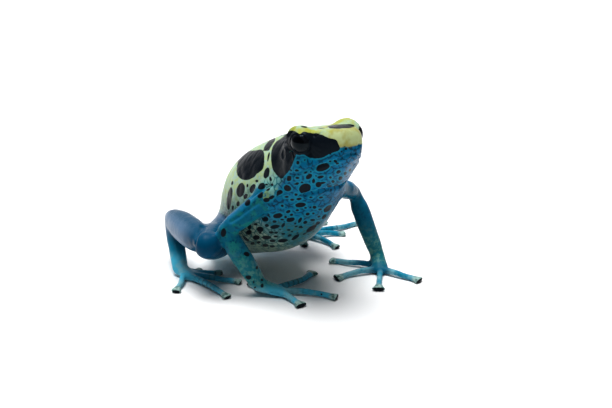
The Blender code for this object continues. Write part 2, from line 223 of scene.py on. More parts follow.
# Girths of each length: share of the length, half width, half height
ARM_GIRTHS = (
    ((0.0, 2.5, 2.5), (0.4, 1.9, 1.9), (0.75, 1.65, 1.65), (1.0, 1.45, 1.5)),
    ((0.0, 1.45, 1.5), (0.35, 1.65, 1.7), (0.7, 1.55, 1.6), (1.0, 1.35, 1.4)),
    ((0.0, 1.35, 1.4), (0.5, 1.5, 1.0), (1.0, 1.3, 0.75)),
)
LEG_GIRTHS = (
    ((0.0, 3.6, 3.6), (0.35, 3.2, 3.2), (0.7, 2.95, 3.0), (1.0, 2.2, 2.3)),
    ((0.0, 1.6, 1.7), (0.3, 2.45, 2.5), (0.65, 2.45, 2.5), (1.0, 1.6, 1.65)),
    ((0.0, 1.5, 1.6), (0.5, 1.5, 1.5), (1.0, 1.35, 1.15)),
    ((0.0, 1.15, 1.1), (1.0, 1.2, 0.75)),
)
# The left arm is stretched, so its upper arm and forearm are slimmer than the right one's by these shares
ARM_SLIMNESS = {"right": (1.0, 1.0, 1.0), "left": (0.94, 0.9, 1.0)}
CAP_LEANS = np.radians([80, 65, 50, 35, 20, 8])


def tube(rows, sides=40, count=40):
    """Elliptic rings (x, y, z, half width, half height) square to a curve through the rows.

    Each end closes with rings on a quarter ellipse, which move out by height x sin and shrink by cos.
    """
    rows = curve_through(rows, count)
    tangents = np.gradient(rows[:, :3], axis=0)
    tangents /= np.linalg.norm(tangents, axis=1)[:, None]
    side = np.cross(tangents, (0, 0, 1))
    side /= np.linalg.norm(side, axis=1)[:, None]
    rise = np.cross(side, tangents)
    caps = len(CAP_LEANS)
    pick = np.concatenate([np.zeros(caps, int), np.arange(count), np.full(caps, count - 1)])
    lean = np.concatenate([CAP_LEANS, np.zeros(count), CAP_LEANS[::-1]])
    way = np.concatenate([-np.ones(caps), np.zeros(count), np.ones(caps)])
    centres = rows[pick, :3] + tangents[pick] * (way * rows[pick, 4] * np.sin(lean))[:, None]
    turns = np.linspace(0, 2 * math.pi, sides, endpoint=False)
    half_widths, half_heights = (rows[pick, 3:5] * np.cos(lean)[:, None]).T[:, :, None, None]
    across = np.cos(turns)[:, None] * half_widths * side[pick][:, None, :]
    tall = np.sin(turns)[:, None] * half_heights * rise[pick][:, None, :]
    tips = [rows[end, :3] + tangents[end] * sign * rows[end, 4] for end, sign in ((0, -1), (-1, 1))]
    return closed_loft(centres[:, None, :] + across + tall, *tips)


def limb_rows(joints, girths, slimness=(1.0, 1.0, 1.0, 1.0)):
    """Rows of each length of a limb: places on the straight line between two joints, and the girths there."""
    lengths = []
    for start, end, length_girths, slim in zip(joints, joints[1:], girths, slimness):
        start = np.array(start)
        way = np.array(end) - start
        rows = [(*(start + way * share), wide * slim, tall * slim) for share, wide, tall in length_girths]
        lengths.append(rows)
    return lengths


arm_lengths = []
leg_lengths = []
for side in ("right", "left"):
    arm_lengths += limb_rows(ARMS[side], ARM_GIRTHS, ARM_SLIMNESS[side])
    leg_lengths += limb_rows(LEGS[side], LEG_GIRTHS)
flesh += [tube(rows) for rows in arm_lengths + leg_lengths]


# Digits. Four fingers and five toes lie flat from the palm or the sole, bow a little sideways, and end in a
# disc cut off straight in front. Each is named root (x, y), tip (x, y), sideways bow.
FINGERS = (
    ((-6.9, -4.9), (-6.2, -0.9), 0.2),
    ((-4.9, -5.9), (5.3, -2.5), -0.9),
    ((-4.0, -7.5), (2.5, -14.0), 0.5),
    ((-4.7, -8.0), (-4.3, -13.8), 0.0),
    ((15.9, -6.2), (10.8, 0.8), 0.3),
    ((14.6, -7.9), (6.7, -6.8), -0.3),
    ((14.7, -9.0), (9.9, -15.0), 0.0),
    ((15.6, -8.9), (18.4, -15.7), -0.2),
)
TOES = (
    ((-13.5, 8.6), (-10.3, 9.0), 0.1),
    ((-13.3, 7.9), (-7.9, 6.0), -0.3),
    ((-13.0, 6.9), (-7.4, 0.3), -0.3),
    ((-13.9, 6.5), (-12.5, -4.2), 0.3),
    ((-14.6, 7.9), (-18.7, 2.6), 0.3),
    ((13.8, 13.7), (11.0, 9.4), 0.2),
    ((14.4, 13.1), (15.8, 5.4), 0.4),
    ((15.4, 13.0), (21.4, 10.9), 0.3),
    ((16.0, 14.3), (27.3, 14.5), -0.5),
    ((14.9, 14.7), (22.0, 18.8), 0.3),
)
# Share of the length, height of the centre, half width, half height, share of the bow
DIGIT_SHAPE = ((0.0, 0.72, 0.60, 0.62, 0.0), (0.3, 0.80, 0.52, 0.55, 0.8), (0.6, 0.62, 0.50, 0.50, 1.0))
# Disc of a finger: distance to the tip, height of the centre, half width, half height, share of the bow
DISC_SHAPE = ((1.9, 0.52, 0.56, 0.50, 0.4), (0.95, 0.42, 0.95, 0.47, 0.1), (0.48, 0.42, 1.22, 0.48, 0.0))
TOE_DISC_SHARE = 0.78
LEAST_STEP = 0.3
DIGIT_SIDES = 28
DIGIT_RINGS = 44


def digit_rows(root, tip, bow, disc_share):
    """Rows of a digit that bows sideways on its way to the disc at its tip."""
    root = np.array(root)
    way = np.array(tip) - root
    length = np.linalg.norm(way)
    sideways = np.array([-way[1], way[0]]) / length
    disc_starts = 1 - (DISC_SHAPE[0][0] + LEAST_STEP) / length
    shape = [row for row in DIGIT_SHAPE if row[0] < disc_starts]
    for to_tip, height, across, tall, bent in DISC_SHAPE:
        shape.append((1 - to_tip / length, height, across * disc_share, tall, bent))
    rows = []
    for share, height, across, tall, bent in shape:
        rows.append((*(root + way * share + sideways * bow * bent), height, across, tall))
    return rows


finger_lengths = [digit_rows(*finger, 1.0) for finger in FINGERS]
toe_lengths = [digit_rows(*toe, TOE_DISC_SHARE) for toe in TOES]
flesh += [tube(rows, DIGIT_SIDES, DIGIT_RINGS) for rows in finger_lengths + toe_lengths]


# Skin. All of the flesh is joined into one closed skin with no seams: the lofts are merged by a voxel
# remesh, and the creases where limbs meet the trunk are relaxed into soft folds.
VOXEL = 0.24
# Where the skin is relaxed: centre (x, y, z), reach, and strength, of which the greatest sets the rounds
SOFT_FOLDS = (
    ((-6.3, -8.0, 17.6), 4.2, 60),
    ((6.0, -8.0, 16.2), 4.6, 120),
    ((-6.5, 9.0, 6.5), 6.5, 160),
    ((6.5, 9.0, 7.5), 6.5, 160),
    ((-12.2, -3.05, 11.5), 2.6, 25),
    ((12.9, -3.4, 13.9), 3.2, 36),
    ((-14.7, -1.3, 9.0), 3.2, 8),
    ((12.0, 2.0, 12.6), 3.5, 60),
    ((-11.4, 18.0, 7.7), 2.8, 40),
    ((11.3, 20.0, 9.4), 2.5, 30),
    ((-7.0, -5.7, 1.6), 2.5, 20),
    ((16.1, -6.5, 1.9), 2.5, 20),
    ((-14.2, 8.6, 1.2), 2.2, 20),
    ((13.9, 14.2, 1.2), 2.2, 20),
    ((0.0, -13.5, 29.6), 6.5, 6),
    ((-5.0, -16.7, 27.4), 2.6, 30),
    ((5.0, -16.7, 27.4), 2.6, 30),
    ((-5.6, -10.6, 28.0), 2.2, 20),
    ((5.6, -10.6, 28.0), 2.2, 20),
)
# Share of a fold's reach that is relaxed in full, what is added to each share of strength, and how far a
# vertex moves towards its neighbours in a round, at the folds and in the last rounds over the whole skin
FOLD_CORE = 0.55
ADDED_STRENGTH = 0.12
FOLD_MOVE = 0.6
EVEN_MOVE = 0.5
EVEN_ROUNDS = 2


def joined(meshes):
    """All meshes in one, each one's corners counted on from the points before it."""
    starts = np.cumsum([0, *(len(points) for points, _, _ in meshes)])
    points = np.vstack([points for points, _, _ in meshes])
    quads = np.vstack([quads + start for (_, quads, _), start in zip(meshes, starts)])
    fans = np.vstack([fans + start for (_, _, fans), start in zip(meshes, starts)])
    return points, quads, fans


def make_object(name, points, quads, fans=()):
    """Object with the points, given in own millimetres, and the faces, smooth and at the frame's origin."""
    mesh = bpy.data.meshes.new(name)
    mesh.from_pydata(to_metres(points).tolist(), [], [*np.array(quads).tolist(), *np.array(fans).tolist()])
    mesh.shade_smooth()
    made = bpy.data.objects.new(name, mesh)
    bpy.context.scene.collection.objects.link(made)
    return made


skin = make_object("skin", *joined(flesh))
remesh = skin.modifiers.new("remesh", "REMESH")
remesh.mode = "VOXEL"
remesh.voxel_size = VOXEL * 0.001
remesh.use_smooth_shade = True
graph = bpy.context.evaluated_depsgraph_get()
remeshed = bpy.data.meshes.new_from_object(skin.evaluated_get(graph))
skin.modifiers.clear()
skin.data = remeshed
remeshed.name = "skin"


def read(items, name, width, kind=float):
    """One property of all the vertices, edges or faces of a mesh, as the rows of an array."""
    flat = np.empty(len(items) * width, kind)
    items.foreach_get(name, flat)
    return flat.reshape(-1, width)


def write_points(mesh, points):
    """Puts points, given in own millimetres, into a mesh."""
    mesh.vertices.foreach_set("co", to_metres(points).astype(np.float32).ravel())
    mesh.update()


def past(values, edge):
    """0 before the edge, which is a pair of values, 1 past it, and 3t squared - 2t cubed between the two."""
    low, high = edge
    t = np.clip((values - low) / (high - low), 0, 1)
    return t * t * (3 - 2 * t)


def before(values, edge):
    """1 before the edge and 0 past it."""
    return 1 - past(values, edge)


def neighbour_mean(values, edges):
    """For each vertex the mean of its neighbours' values, summed over both ends of every edge."""
    count = len(values)
    first, second = edges.T
    degree = np.bincount(first, minlength=count) + np.bincount(second, minlength=count)
    columns = []
    for column in values.T:
        ahead = np.bincount(first, column[second], count)
        columns.append((ahead + np.bincount(second, column[first], count)) / degree)
    return np.stack(columns, 1)


def relax(points, edges, weight, rounds):
    """Moves each vertex that has a weight towards its neighbours' mean by that weight, over and over."""
    moving = weight > 0
    near = edges[moving[edges].any(1)]
    picked, where = np.unique(near, return_inverse=True)
    local_edges = where.reshape(near.shape)
    local = points[picked]
    share = weight[picked][:, None]
    for _ in range(rounds):
        local = local + share * (neighbour_mean(local, local_edges) - local)
    points = points.copy()
    points[picked] = local
    return points


skin_points = read(remeshed.vertices, "co", 3) * 1000 - SHIFT
skin_edges = read(remeshed.edges, "vertices", 2, int)
fold_rounds = max(strength for _, _, strength in SOFT_FOLDS)
fold_weight = np.zeros(len(skin_points))
for centre, reach, strength in SOFT_FOLDS:
    near = before(np.linalg.norm(skin_points - centre, axis=1), (FOLD_CORE * reach, reach))
    fold_weight = np.maximum(fold_weight, near * min(1.0, strength / fold_rounds + ADDED_STRENGTH))
skin_points = relax(skin_points, skin_edges, FOLD_MOVE * fold_weight, fold_rounds)
skin_points = relax(skin_points, skin_edges, np.full(len(skin_points), EVEN_MOVE), EVEN_ROUNDS)
write_points(remeshed, skin_points)
skin_normals = read(remeshed.vertex_normals, "vector", 3)


# Face and folds. The eye opens between lids, the mouth is a fine line under full lips, the nostrils are
# small pits, the ear is a shallow disc behind the eye, and loose skin folds at the throat, the armpits and
# the knee.
EYE_RADIUS = 2.0
EYE_CENTRE = np.array([4.35, -14.1, 27.6])
EYE_OUTWARD = np.array([0.84, -0.48, 0.08])
OPENING_HALF_LENGTH = math.radians(52)
OPENING_HALF_HEIGHT = math.radians(40)
LID_THICKNESS = 0.13
SOCKET_DEPTH = 0.35
# Shares of the opening between which the rim of the lid ends, and the skin round it comes off the eyeball
LID_RIM = (0.93, 1.07)
LID_HOLD = (1.15, 1.9)
# The lids are shaped this near to the middle of the eye, where the skin's place is ahead of it by this cosine
EYE_REACH = 2 * EYE_RADIUS
LEAST_AHEAD = 0.1
MOUTH_WIDTH = 0.2
MOUTH_DEPTH = 0.22
LIP_RISE = 0.09
LIP_WIDTH = 0.25
LIP_FROM_MOUTH = 0.5
NOSTRIL_PLACE = np.array([1.35, -20.8, 27.85])
NOSTRIL_RADIUS = 0.34
NOSTRIL_DEPTH = 0.35
NOSTRIL_RIM_RADIUS = 0.55
NOSTRIL_RIM_WIDTH = 0.2
NOSTRIL_RIM_RISE = 0.08
EAR_PLACE = np.array([6.1, -10.9, 25.3])
EAR_RADIUS = 0.95
EAR_FLAT_RADIUS = 0.5
EAR_DEPTH = 0.1
EAR_RIM_WIDTH = 0.18
EAR_RIM_RISE = 0.09
# Folds seen in the photograph: pixels along the fold, half width, depth, rise of the ridge below it
FOLDS = (
    (((345, 183), (339, 187), (331, 189), (322, 190.5), (313, 193), (305, 195)), 0.40, 0.48, 0.45),
    (((286, 134), (286, 142), (288, 150), (291.5, 157)), 0.3, 0.22, 0.15),
    (((288, 135), (288.5, 142), (291, 148)), 0.25, 0.12, 0.1),
    (((203, 226), (199, 232), (195.5, 239), (194, 247), (195.5, 254)), 0.5, 0.4, 0.0),
    (((271, 185.5), (265, 188), (258, 192.5), (251, 198)), 0.35, 0.3, 0.12),
    (((231, 222), (240, 216), (250, 208.5), (259, 202.5)), 0.32, 0.26, 0.08),
    (((351.5, 157), (351.8, 160), (352.6, 163), (354.5, 165)), 0.25, 0.14, 0.0),
)
FOLD_POINTS = 60
# The ridge runs below its fold by this many half widths, and is this many wide
RIDGE_DROP = 2.2
RIDGE_WIDTH = 1.5


def project(points):
    """Pixels of points in the photograph's frame, through a pinhole: right and up over the depth."""
    away = points - camera_place
    depth = -(away @ camera_back)
    across = IMAGE_SIZE[0] / 2 + FOCAL_PIXELS * (away @ camera_right) / depth
    down = IMAGE_SIZE[1] / 2 - FOCAL_PIXELS * (away @ camera_up) / depth
    return np.stack([across, down], 1), depth


def sight(pixel):
    """Direction from the camera through a pixel."""
    way = -camera_back * FOCAL_PIXELS
    way = way + (pixel[0] - IMAGE_SIZE[0] / 2) * camera_right - (pixel[1] - IMAGE_SIZE[1] / 2) * camera_up
    return way / np.linalg.norm(way)


skin_quads = read(remeshed.polygons, "vertices", 4, int)
skin_tree = BVHTree.FromPolygons(skin_points.tolist(), skin_quads.tolist())


def on_skin(pixel):
    """Where the sight line through a pixel meets the skin, and its normal there, or None where it misses."""
    place, normal, _, _ = skin_tree.ray_cast(Vector(camera_place), Vector(sight(pixel)))
    return None if place is None else (np.array(place), np.array(normal))


def distance_to_line(points, line):
    """Distance from each point to the nearest of the line's points, which lie close together."""
    nearest = np.full(len(points), np.inf)
    for place in line:
        nearest = np.minimum(nearest, ((points - place) ** 2).sum(1))
    return np.sqrt(nearest)


def bell(values, width):
    """1 at nought, and e to the minus square of value over width elsewhere."""
    return np.exp(-((values / width) ** 2))


def lattice_noise(points, size, seed):
    """Smooth noise from -1 to 1: random values on a cubic lattice, blended by 3t squared - 2t cubed."""
    cells = 48
    table = np.random.default_rng(seed).uniform(-1, 1, (cells, cells, cells))
    scaled = points / np.array(size)
    low = np.floor(scaled).astype(int)
    t = scaled - low
    t = t * t * (3 - 2 * t)
    total = np.zeros(len(points))
    for corner in np.ndindex(2, 2, 2):
        share = np.prod(np.where(corner, t, 1 - t), 1)
        total += share * table[tuple(((low + corner) % cells).T)]
    return total


def creases(points, size, seed):
    """Noise with sharp valleys: 0 at most places and 1 along thin lines, where the smooth noise crosses 0."""
    return (1 - np.abs(lattice_noise(points, size, seed))) ** 5


# Loose skin: upright wrinkles on the flanks and behind the eyes, level ones on the throat, and small
# rumples on all. Edges are places along the body (y) or above the floor (z), and the wrinkles stay off the
# upper arm.
FLANK_BOTTOM = (9.0, 13.0)
FLANK_FRONT = (-13.5, -11.0)
FLANK_REAR = (6.0, 11.0)
FLANK_FACING = (0.3, 0.7)
ARM_TOP = (17.0, 20.0)
ARM_REAR = (-5.0, -2.0)
THROAT_REAR = (-12.0, -8.0)
THROAT_TOP = (22.0, 27.0)
FEET_TOP = (2.0, 4.0)
_, along_body, above_floor = skin_points.T
on_flank = past(above_floor, FLANK_BOTTOM) * before(along_body, FLANK_REAR)
on_flank *= past(along_body, FLANK_FRONT) * past(np.abs(skin_normals[:, 0]), FLANK_FACING)
on_flank *= 1 - before(above_floor, ARM_TOP) * before(along_body, ARM_REAR)
on_throat = before(along_body, THROAT_REAR) * before(above_floor, THROAT_TOP)
above_feet = past(above_floor, FEET_TOP)
# Region, pattern, height, size of the pattern along x, y and z, and seed
RUMPLES = (
    (on_flank, creases, -0.055, (2.6, 1.2, 2.6), 11),
    (on_flank, lattice_noise, 0.03, (2.0, 0.8, 1.6), 12),
    (on_throat, creases, -0.07, (3.5, 3.5, 1.2), 13),
    (above_feet, lattice_noise, 0.035, 1.5, 14),
    (above_feet, lattice_noise, 0.018, 0.6, 15),
)
rise = np.zeros(len(skin_points))
for region, pattern, height, size, seed in RUMPLES:
    rise += height * region * pattern(skin_points, size, seed)

# Mouth line: where each head section stands at its mouth height, on both sides and round the front
LEAST_MOUTH = 0.1
MOUTH_FRONT_POINTS = 12
mouth_rows = trunk_curve[trunk_curve[:, 6] > LEAST_MOUTH]
level = 2 * mouth_rows[:, 6] - 1
half_across = np.sqrt(1 - level**2) * mouth_rows[:, 4]
middle = (mouth_rows[:, :2] + mouth_rows[:, 2:4]) / 2
lean = (mouth_rows[:, :2] - mouth_rows[:, 2:4]) / 2
mouth_side = np.column_stack([half_across, middle + level[:, None] * lean])
front = mouth_side[-1] * [(share, 1, 1) for share in np.linspace(1, -1, MOUTH_FRONT_POINTS)]
mouth_line = np.vstack([mouth_side, mouth_side * (-1, 1, 1), front])
from_mouth = distance_to_line(skin_points, mouth_line)
rise -= MOUTH_DEPTH * bell(from_mouth, MOUTH_WIDTH)
rise += LIP_RISE * bell(from_mouth - LIP_FROM_MOUTH, LIP_WIDTH)

for points in (skin_points, skin_points * (-1, 1, 1)):
    from_nostril = np.linalg.norm(points - NOSTRIL_PLACE, axis=1)
    rise -= NOSTRIL_DEPTH * bell(from_nostril, NOSTRIL_RADIUS)
    rise += NOSTRIL_RIM_RISE * bell(from_nostril - NOSTRIL_RIM_RADIUS, NOSTRIL_RIM_WIDTH)
    from_ear = np.linalg.norm(points - EAR_PLACE, axis=1)
    rise += EAR_RIM_RISE * bell(from_ear - EAR_RADIUS, EAR_RIM_WIDTH)
    rise -= EAR_DEPTH * before(from_ear, (EAR_FLAT_RADIUS, EAR_RADIUS))
for pixels, width, depth, ridge in FOLDS:
    hits = [on_skin(pixel) for pixel in curve_through(pixels, FOLD_POINTS)]
    line = np.array([hit[0] for hit in hits if hit])
    from_fold = distance_to_line(skin_points, line)
    from_ridge = distance_to_line(skin_points, line - camera_up * RIDGE_DROP * width)
    rise += ridge * bell(from_ridge, RIDGE_WIDTH * width) - depth * bell(from_fold, width)

skin_points = skin_points + rise[:, None] * skin_normals

# Lids: skin outside the opening rests on the eyeball, and skin inside it is tucked back behind the eye
lid_radius = EYE_RADIUS + LID_THICKNESS
socket_radius = EYE_RADIUS - SOCKET_DEPTH
for sign in (-1, 1):
    eye_middle = EYE_CENTRE * (sign, 1, 1)
    outward = EYE_OUTWARD * (sign, 1, 1) / np.linalg.norm(EYE_OUTWARD)
    forward = np.cross(outward, (0, 0, 1))
    forward /= np.linalg.norm(forward)
    over = np.cross(forward, outward)
    away = skin_points - eye_middle
    reach = np.linalg.norm(away, axis=1)
    facing = away / np.maximum(reach, 1e-6)[:, None]
    along = np.arcsin(np.clip(facing @ forward, -1, 1)) / OPENING_HALF_LENGTH
    high = np.arcsin(np.clip(facing @ over, -1, 1)) / OPENING_HALF_HEIGHT
    opened = np.hypot(along, high)
    inside = before(opened, LID_RIM)
    held = before(opened, LID_HOLD)
    wanted = lid_radius + (socket_radius - lid_radius) * inside
    wanted = wanted + (reach - wanted) * (1 - held)
    shaped = np.where(inside > 0.5, wanted, np.maximum(wanted, held * lid_radius))
    ahead = (facing @ outward > LEAST_AHEAD) & (reach < EYE_REACH)
    skin_points = eye_middle + facing * np.where(ahead, shaped, reach)[:, None]

box_low, box_high = (np.array(corner) * 1000 - SHIFT for corner in cad_box)
skin_points = np.clip(skin_points, box_low, box_high)
write_points(remeshed, skin_points)
skin_normals = read(remeshed.vertex_normals, "vector", 3)


# Markings. Black marks with sharp edges lie on a yellow-green back, a blue throat and a grey-green belly.
# Their outlines are read from the photograph in pixels and cast onto the skin, each side mirrors the other
# where the camera doesn't reach, and the back carries marks of the same kind.
BLOTCHES = {
    "mask": (
        (288, 133), (290, 130.8), (293, 130.8), (296, 131.8), (298.6, 133.6), (300.2, 134.2),
        (301.8, 132.8), (304, 131.7), (308, 132.5), (313, 133.3), (317, 133.3), (320, 133.7), (323, 135.2),
        (326, 136.8), (330, 138.4), (334, 139.2), (336.8, 140.6), (338.2, 143.5), (339.2, 146.5),
        (340, 148.6), (338.5, 150.6), (335, 151.9), (331, 153.1), (327, 155.2), (323, 157.3), (319, 158.4),
        (315, 158.6), (311, 158), (307.5, 156.6), (305, 155), (302.5, 154.6), (299, 155), (296, 154.4),
        (294, 156), (291, 156), (289, 148), (287.6, 140),
    ),
    "shoulder": (
        (281, 178.6), (278.5, 176.5), (276, 174), (273.5, 170.5), (272, 166), (271.3, 161), (271.2, 155),
        (272, 149.5), (273.5, 145.5), (276, 142), (279, 139.8), (282, 138), (285, 135.5), (289, 132),
        (291.5, 138), (292.5, 147), (294.5, 153), (295.5, 155), (294.6, 158.5), (293, 162.5), (291, 167),
        (288.5, 171.5), (285, 175), (282.8, 178),
    ),
    "flank": (
        (238, 160.5), (241, 156.5), (244.5, 153.8), (247.5, 151.8), (251, 150.8), (256, 150.5),
        (260, 149.7), (262.8, 150.6), (264, 154), (264.2, 160), (263.8, 165.5), (262.3, 169.5),
        (259.5, 172), (256.5, 174), (254, 177), (250.5, 179), (246, 180), (241.5, 179), (238.3, 176.3),
        (236.7, 172), (237, 167.5), (237.6, 163.5),
    ),
    "neck": (
        (263.5, 150.5), (264.5, 147), (266.5, 144), (269, 141), (272, 138.5), (275, 138), (274.3, 141.5),
        (272.2, 144.5), (270.5, 147.5), (269, 150), (266, 150.8),
    ),
    "crown_bar": (
        (328, 126.6), (331, 125.4), (336, 124.7), (341, 124.4), (346, 124.2), (350, 124.2), (353, 124.8),
        (354.6, 125.8), (352.5, 127.2), (348, 127.9), (343, 128.2), (338, 128.4), (333, 128.4),
        (329.5, 128),
    ),
}
# Spots: middle (across, down), half length, half width, degrees that the long way climbs to the right
THROAT_SPOTS = (
    (297.5, 162.8, 1.8, 1.6, 90), (297, 170.5, 1.8, 1.3, 0), (305.5, 172.6, 1.8, 0.9, 25),
    (311, 171.5, 0.8, 0.7, 0), (309, 176.6, 3.4, 2.2, 35), (289, 178.5, 2.7, 2.3, -20),
    (297.6, 177.8, 1.9, 1.2, 0), (323, 167.6, 7.0, 3.3, 18), (320.7, 177.1, 3.1, 1.4, 15),
    (330.5, 177.5, 1.4, 1.3, 0), (333, 181.5, 1.6, 1.4, 0), (340.6, 178.4, 2.2, 1.7, 40),
    (337.5, 163.6, 1.7, 1.1, 20), (338.6, 172, 2.3, 1.7, 30), (345.3, 173.5, 2.0, 1.4, 60),
    (350, 170, 2.0, 1.1, 70), (318.6, 184.6, 2.9, 2.6, 30), (322.8, 183, 2.8, 1.0, 12),
    (329.5, 186.2, 2.4, 1.0, 8), (336, 185.4, 2.4, 0.9, 25), (343.6, 183.6, 1.4, 1.0, 0),
    (305, 188.6, 6.1, 4.6, 25), (287.5, 188.2, 3.8, 3.0, -25), (280.4, 192, 2.3, 1.9, 0),
    (297, 183.7, 1.8, 1.3, 10), (313.6, 181, 2.3, 1.4, 80), (314.5, 191.5, 1.7, 0.9, 0),
    (330, 161.6, 1.3, 1.1, 0), (335, 161.6, 1.2, 0.9, 0), (302, 182.4, 1.2, 0.9, 0),
    (296, 194.6, 1.6, 1.4, 0), (286.5, 197, 1.9, 0.9, 0), (299, 199.2, 2.6, 1.3, 10),
    (311, 197.2, 1.7, 1.0, 0), (321, 197.4, 2.2, 1.1, 5), (316, 176, 1.1, 0.7, 0),
    (291, 170.5, 0.9, 0.8, 0), (303.5, 160.3, 0.9, 0.7, 0),
)
FLANK_SPOTS = (
    (268.2, 156.6, 4.2, 0.9, 80), (266.4, 173, 5.2, 2.6, 75), (270.5, 179, 2.0, 1.2, -70),
    (240.3, 190, 6.9, 3.7, 78), (247.2, 185.6, 1.7, 0.9, 80), (252.6, 188.6, 4.5, 2.6, 68),
    (261, 186, 3.7, 2.4, 45), (266, 184.3, 1.6, 0.8, 10), (271.5, 184.6, 1.6, 1.2, 0),
    (268, 189.4, 1.9, 1.2, 20), (260.4, 194.8, 3.5, 2.4, 70), (245.4, 196.4, 2.8, 1.8, 55),
    (247.4, 202.4, 3.4, 2.3, 55), (238, 203.8, 2.5, 1.6, 75), (232.7, 207.6, 2.1, 1.2, 80),
    (229, 198.6, 10.6, 2.4, 82), (232.3, 183, 1.9, 0.9, 80), (266.5, 200, 3.0, 2.0, 0),
    (271.6, 197.4, 2.8, 1.6, 30), (279, 192.6, 2.4, 2.0, 30), (256.5, 181, 1.6, 1.2, 0),
)
BELLY_SPOTS = (
    (265.8, 207.8, 1.6, 1.3, 20), (300.6, 205.1, 4.3, 2.0, 5), (314.6, 207.4, 1.7, 1.3, 0),
    (320.2, 209.7, 1.5, 1.0, 0), (328.1, 208.8, 4.2, 1.9, 42), (307.8, 214.2, 1.7, 1.3, 10),
    (288.3, 211.5, 1.9, 1.2, 20), (291.5, 214.7, 1.4, 0.9, 0), (297.3, 210.3, 1.3, 0.9, 0),
    (282.3, 205.7, 1.2, 1.1, 0), (277.9, 215.7, 3.9, 2.1, 8), (285.8, 216.8, 1.1, 0.9, 0),
    (282.5, 219.5, 1.6, 0.8, 0), (274.6, 221.5, 1.7, 1.1, 0), (265, 218.8, 2.9, 2.3, -20),
    (267.7, 214.8, 1.5, 1.1, 0), (257.9, 217.8, 2.5, 1.3, 0), (290.7, 219.5, 3.4, 1.8, 12),
    (300, 220.1, 2.6, 1.2, 60), (305.4, 222.6, 1.8, 1.3, 20), (312.7, 220.1, 2.0, 1.0, 0),
    (318.1, 223.2, 1.7, 1.3, 30), (324.2, 216.8, 2.6, 1.2, 45), (311.6, 228.8, 5.0, 1.8, 36),
    (275, 226.8, 3.9, 1.6, 10), (266.8, 225.5, 1.6, 1.3, 0), (260, 229.3, 2.8, 2.2, 0),
    (255.4, 224.4, 1.6, 0.9, 0), (249.3, 227.2, 2.0, 1.5, 80), (242.9, 226.3, 3.4, 1.8, 42),
    (239.8, 229.4, 2.0, 1.0, 30), (248.8, 232.6, 2.5, 1.8, 20), (256.3, 237.6, 2.7, 1.9, 0),
    (260.2, 233, 1.1, 0.7, 0), (266.5, 237.6, 3.7, 1.6, 0), (271.3, 232.3, 1.9, 0.9, 0),
    (276.3, 232.6, 1.4, 0.8, 0), (275.7, 236.3, 1.8, 0.8, 10), (272.5, 240.9, 2.4, 1.1, 0),
    (282.9, 240.7, 4.0, 1.5, 4), (265.4, 245.5, 2.4, 1.4, 0), (272.1, 246.3, 2.0, 0.8, 0),
    (245.8, 238.8, 3.2, 1.0, -40), (283.3, 225.1, 2.2, 1.1, 60), (288.8, 230, 1.4, 0.8, 0),
    (289.6, 235.5, 1.9, 0.9, 20), (295.4, 237.4, 3.8, 1.3, 36), (283.3, 233.8, 1.5, 0.8, 0),
    (304.5, 234, 1.6, 0.7, 30), (300.5, 227, 1.5, 0.8, 30), (320, 231, 1.6, 0.7, 30),
    (292, 200, 1.5, 0.9, 0), (305.6, 208, 1.2, 0.8, 0), (313.6, 213.6, 1.1, 0.8, 0),
    (319, 216.6, 1.3, 0.8, 20), (296.3, 226.4, 1.3, 0.7, 20), (258.6, 242.4, 1.6, 0.9, 0),
    (252.6, 243.4, 1.8, 1.1, 0),
)
# Spots on the crown, and a black spot in the nostril that is the painted shade of its pit
CROWN_SPOTS_AND_NOSTRIL_SHADE = ((304.0, 126.6, 3.2, 0.8, -10), (321.5, 128.2, 3.4, 0.4, 0), (345.3, 147.2, 0.9, 0.6, 20))
# Dull green patches on the shoulder
GREEN_PATCHES = ((268.0, 195.0, 8.0, 5.4, 62), (275.0, 189.0, 4.4, 2.6, 20))
LIMB_SPOTS = (
    (223.3, 232.8, 4.4, 2.6, 82), (246.8, 254.1, 3.1, 2.1, -25), (248.2, 277.5, 3.0, 2.1, 0),
    (257.1, 267.5, 1.7, 1.2, 70), (262.1, 285.7, 2.0, 1.4, 80), (262.1, 280, 1.4, 1.1, 0),
    (253.6, 282.1, 1.3, 0.8, 80), (255, 287.5, 1.2, 0.7, 30), (179.6, 276.8, 2.0, 1.3, 15),
    (321.5, 294.3, 0.9, 0.7, 0),
)
# Marks on the back, seen from above: middle (x, y), half length, half width, degrees from the x axis
BACK_MARKS = (
    (0.6, -15.6, 2.3, 1.0, 12), (-3.2, -11.2, 1.0, 0.5, 40), (2.6, -8.6, 1.9, 1.1, 70),
    (-1.9, -5.6, 2.4, 1.3, 80), (2.2, -2.2, 2.6, 1.3, 100), (-1.4, 1.0, 2.2, 1.2, 70),
    (1.6, 4.4, 2.4, 1.4, 85), (-2.2, 6.2, 1.9, 1.0, 100), (0.8, 9.2, 2.0, 1.0, 60),
    (-4.6, -1.2, 1.5, 0.8, 90), (4.9, 1.9, 1.6, 0.8, 80), (-4.9, 5.0, 1.6, 0.8, 80),
    (4.4, 7.0, 1.7, 0.9, 100), (-1.2, 12.0, 1.5, 0.8, 90), (2.4, 12.2, 1.3, 0.7, 70),
)
# The spots' edges are soft, so those of the flank and the belly are drawn this much larger
FLANK_GROWTH = 1.05
BELLY_GROWTH = 1.2
# Depth given to places far outside a mark, and how far off the skin's own plane a spot reaches
FAR_OUTSIDE = -2.0
SPOT_THICKNESS = 1.6


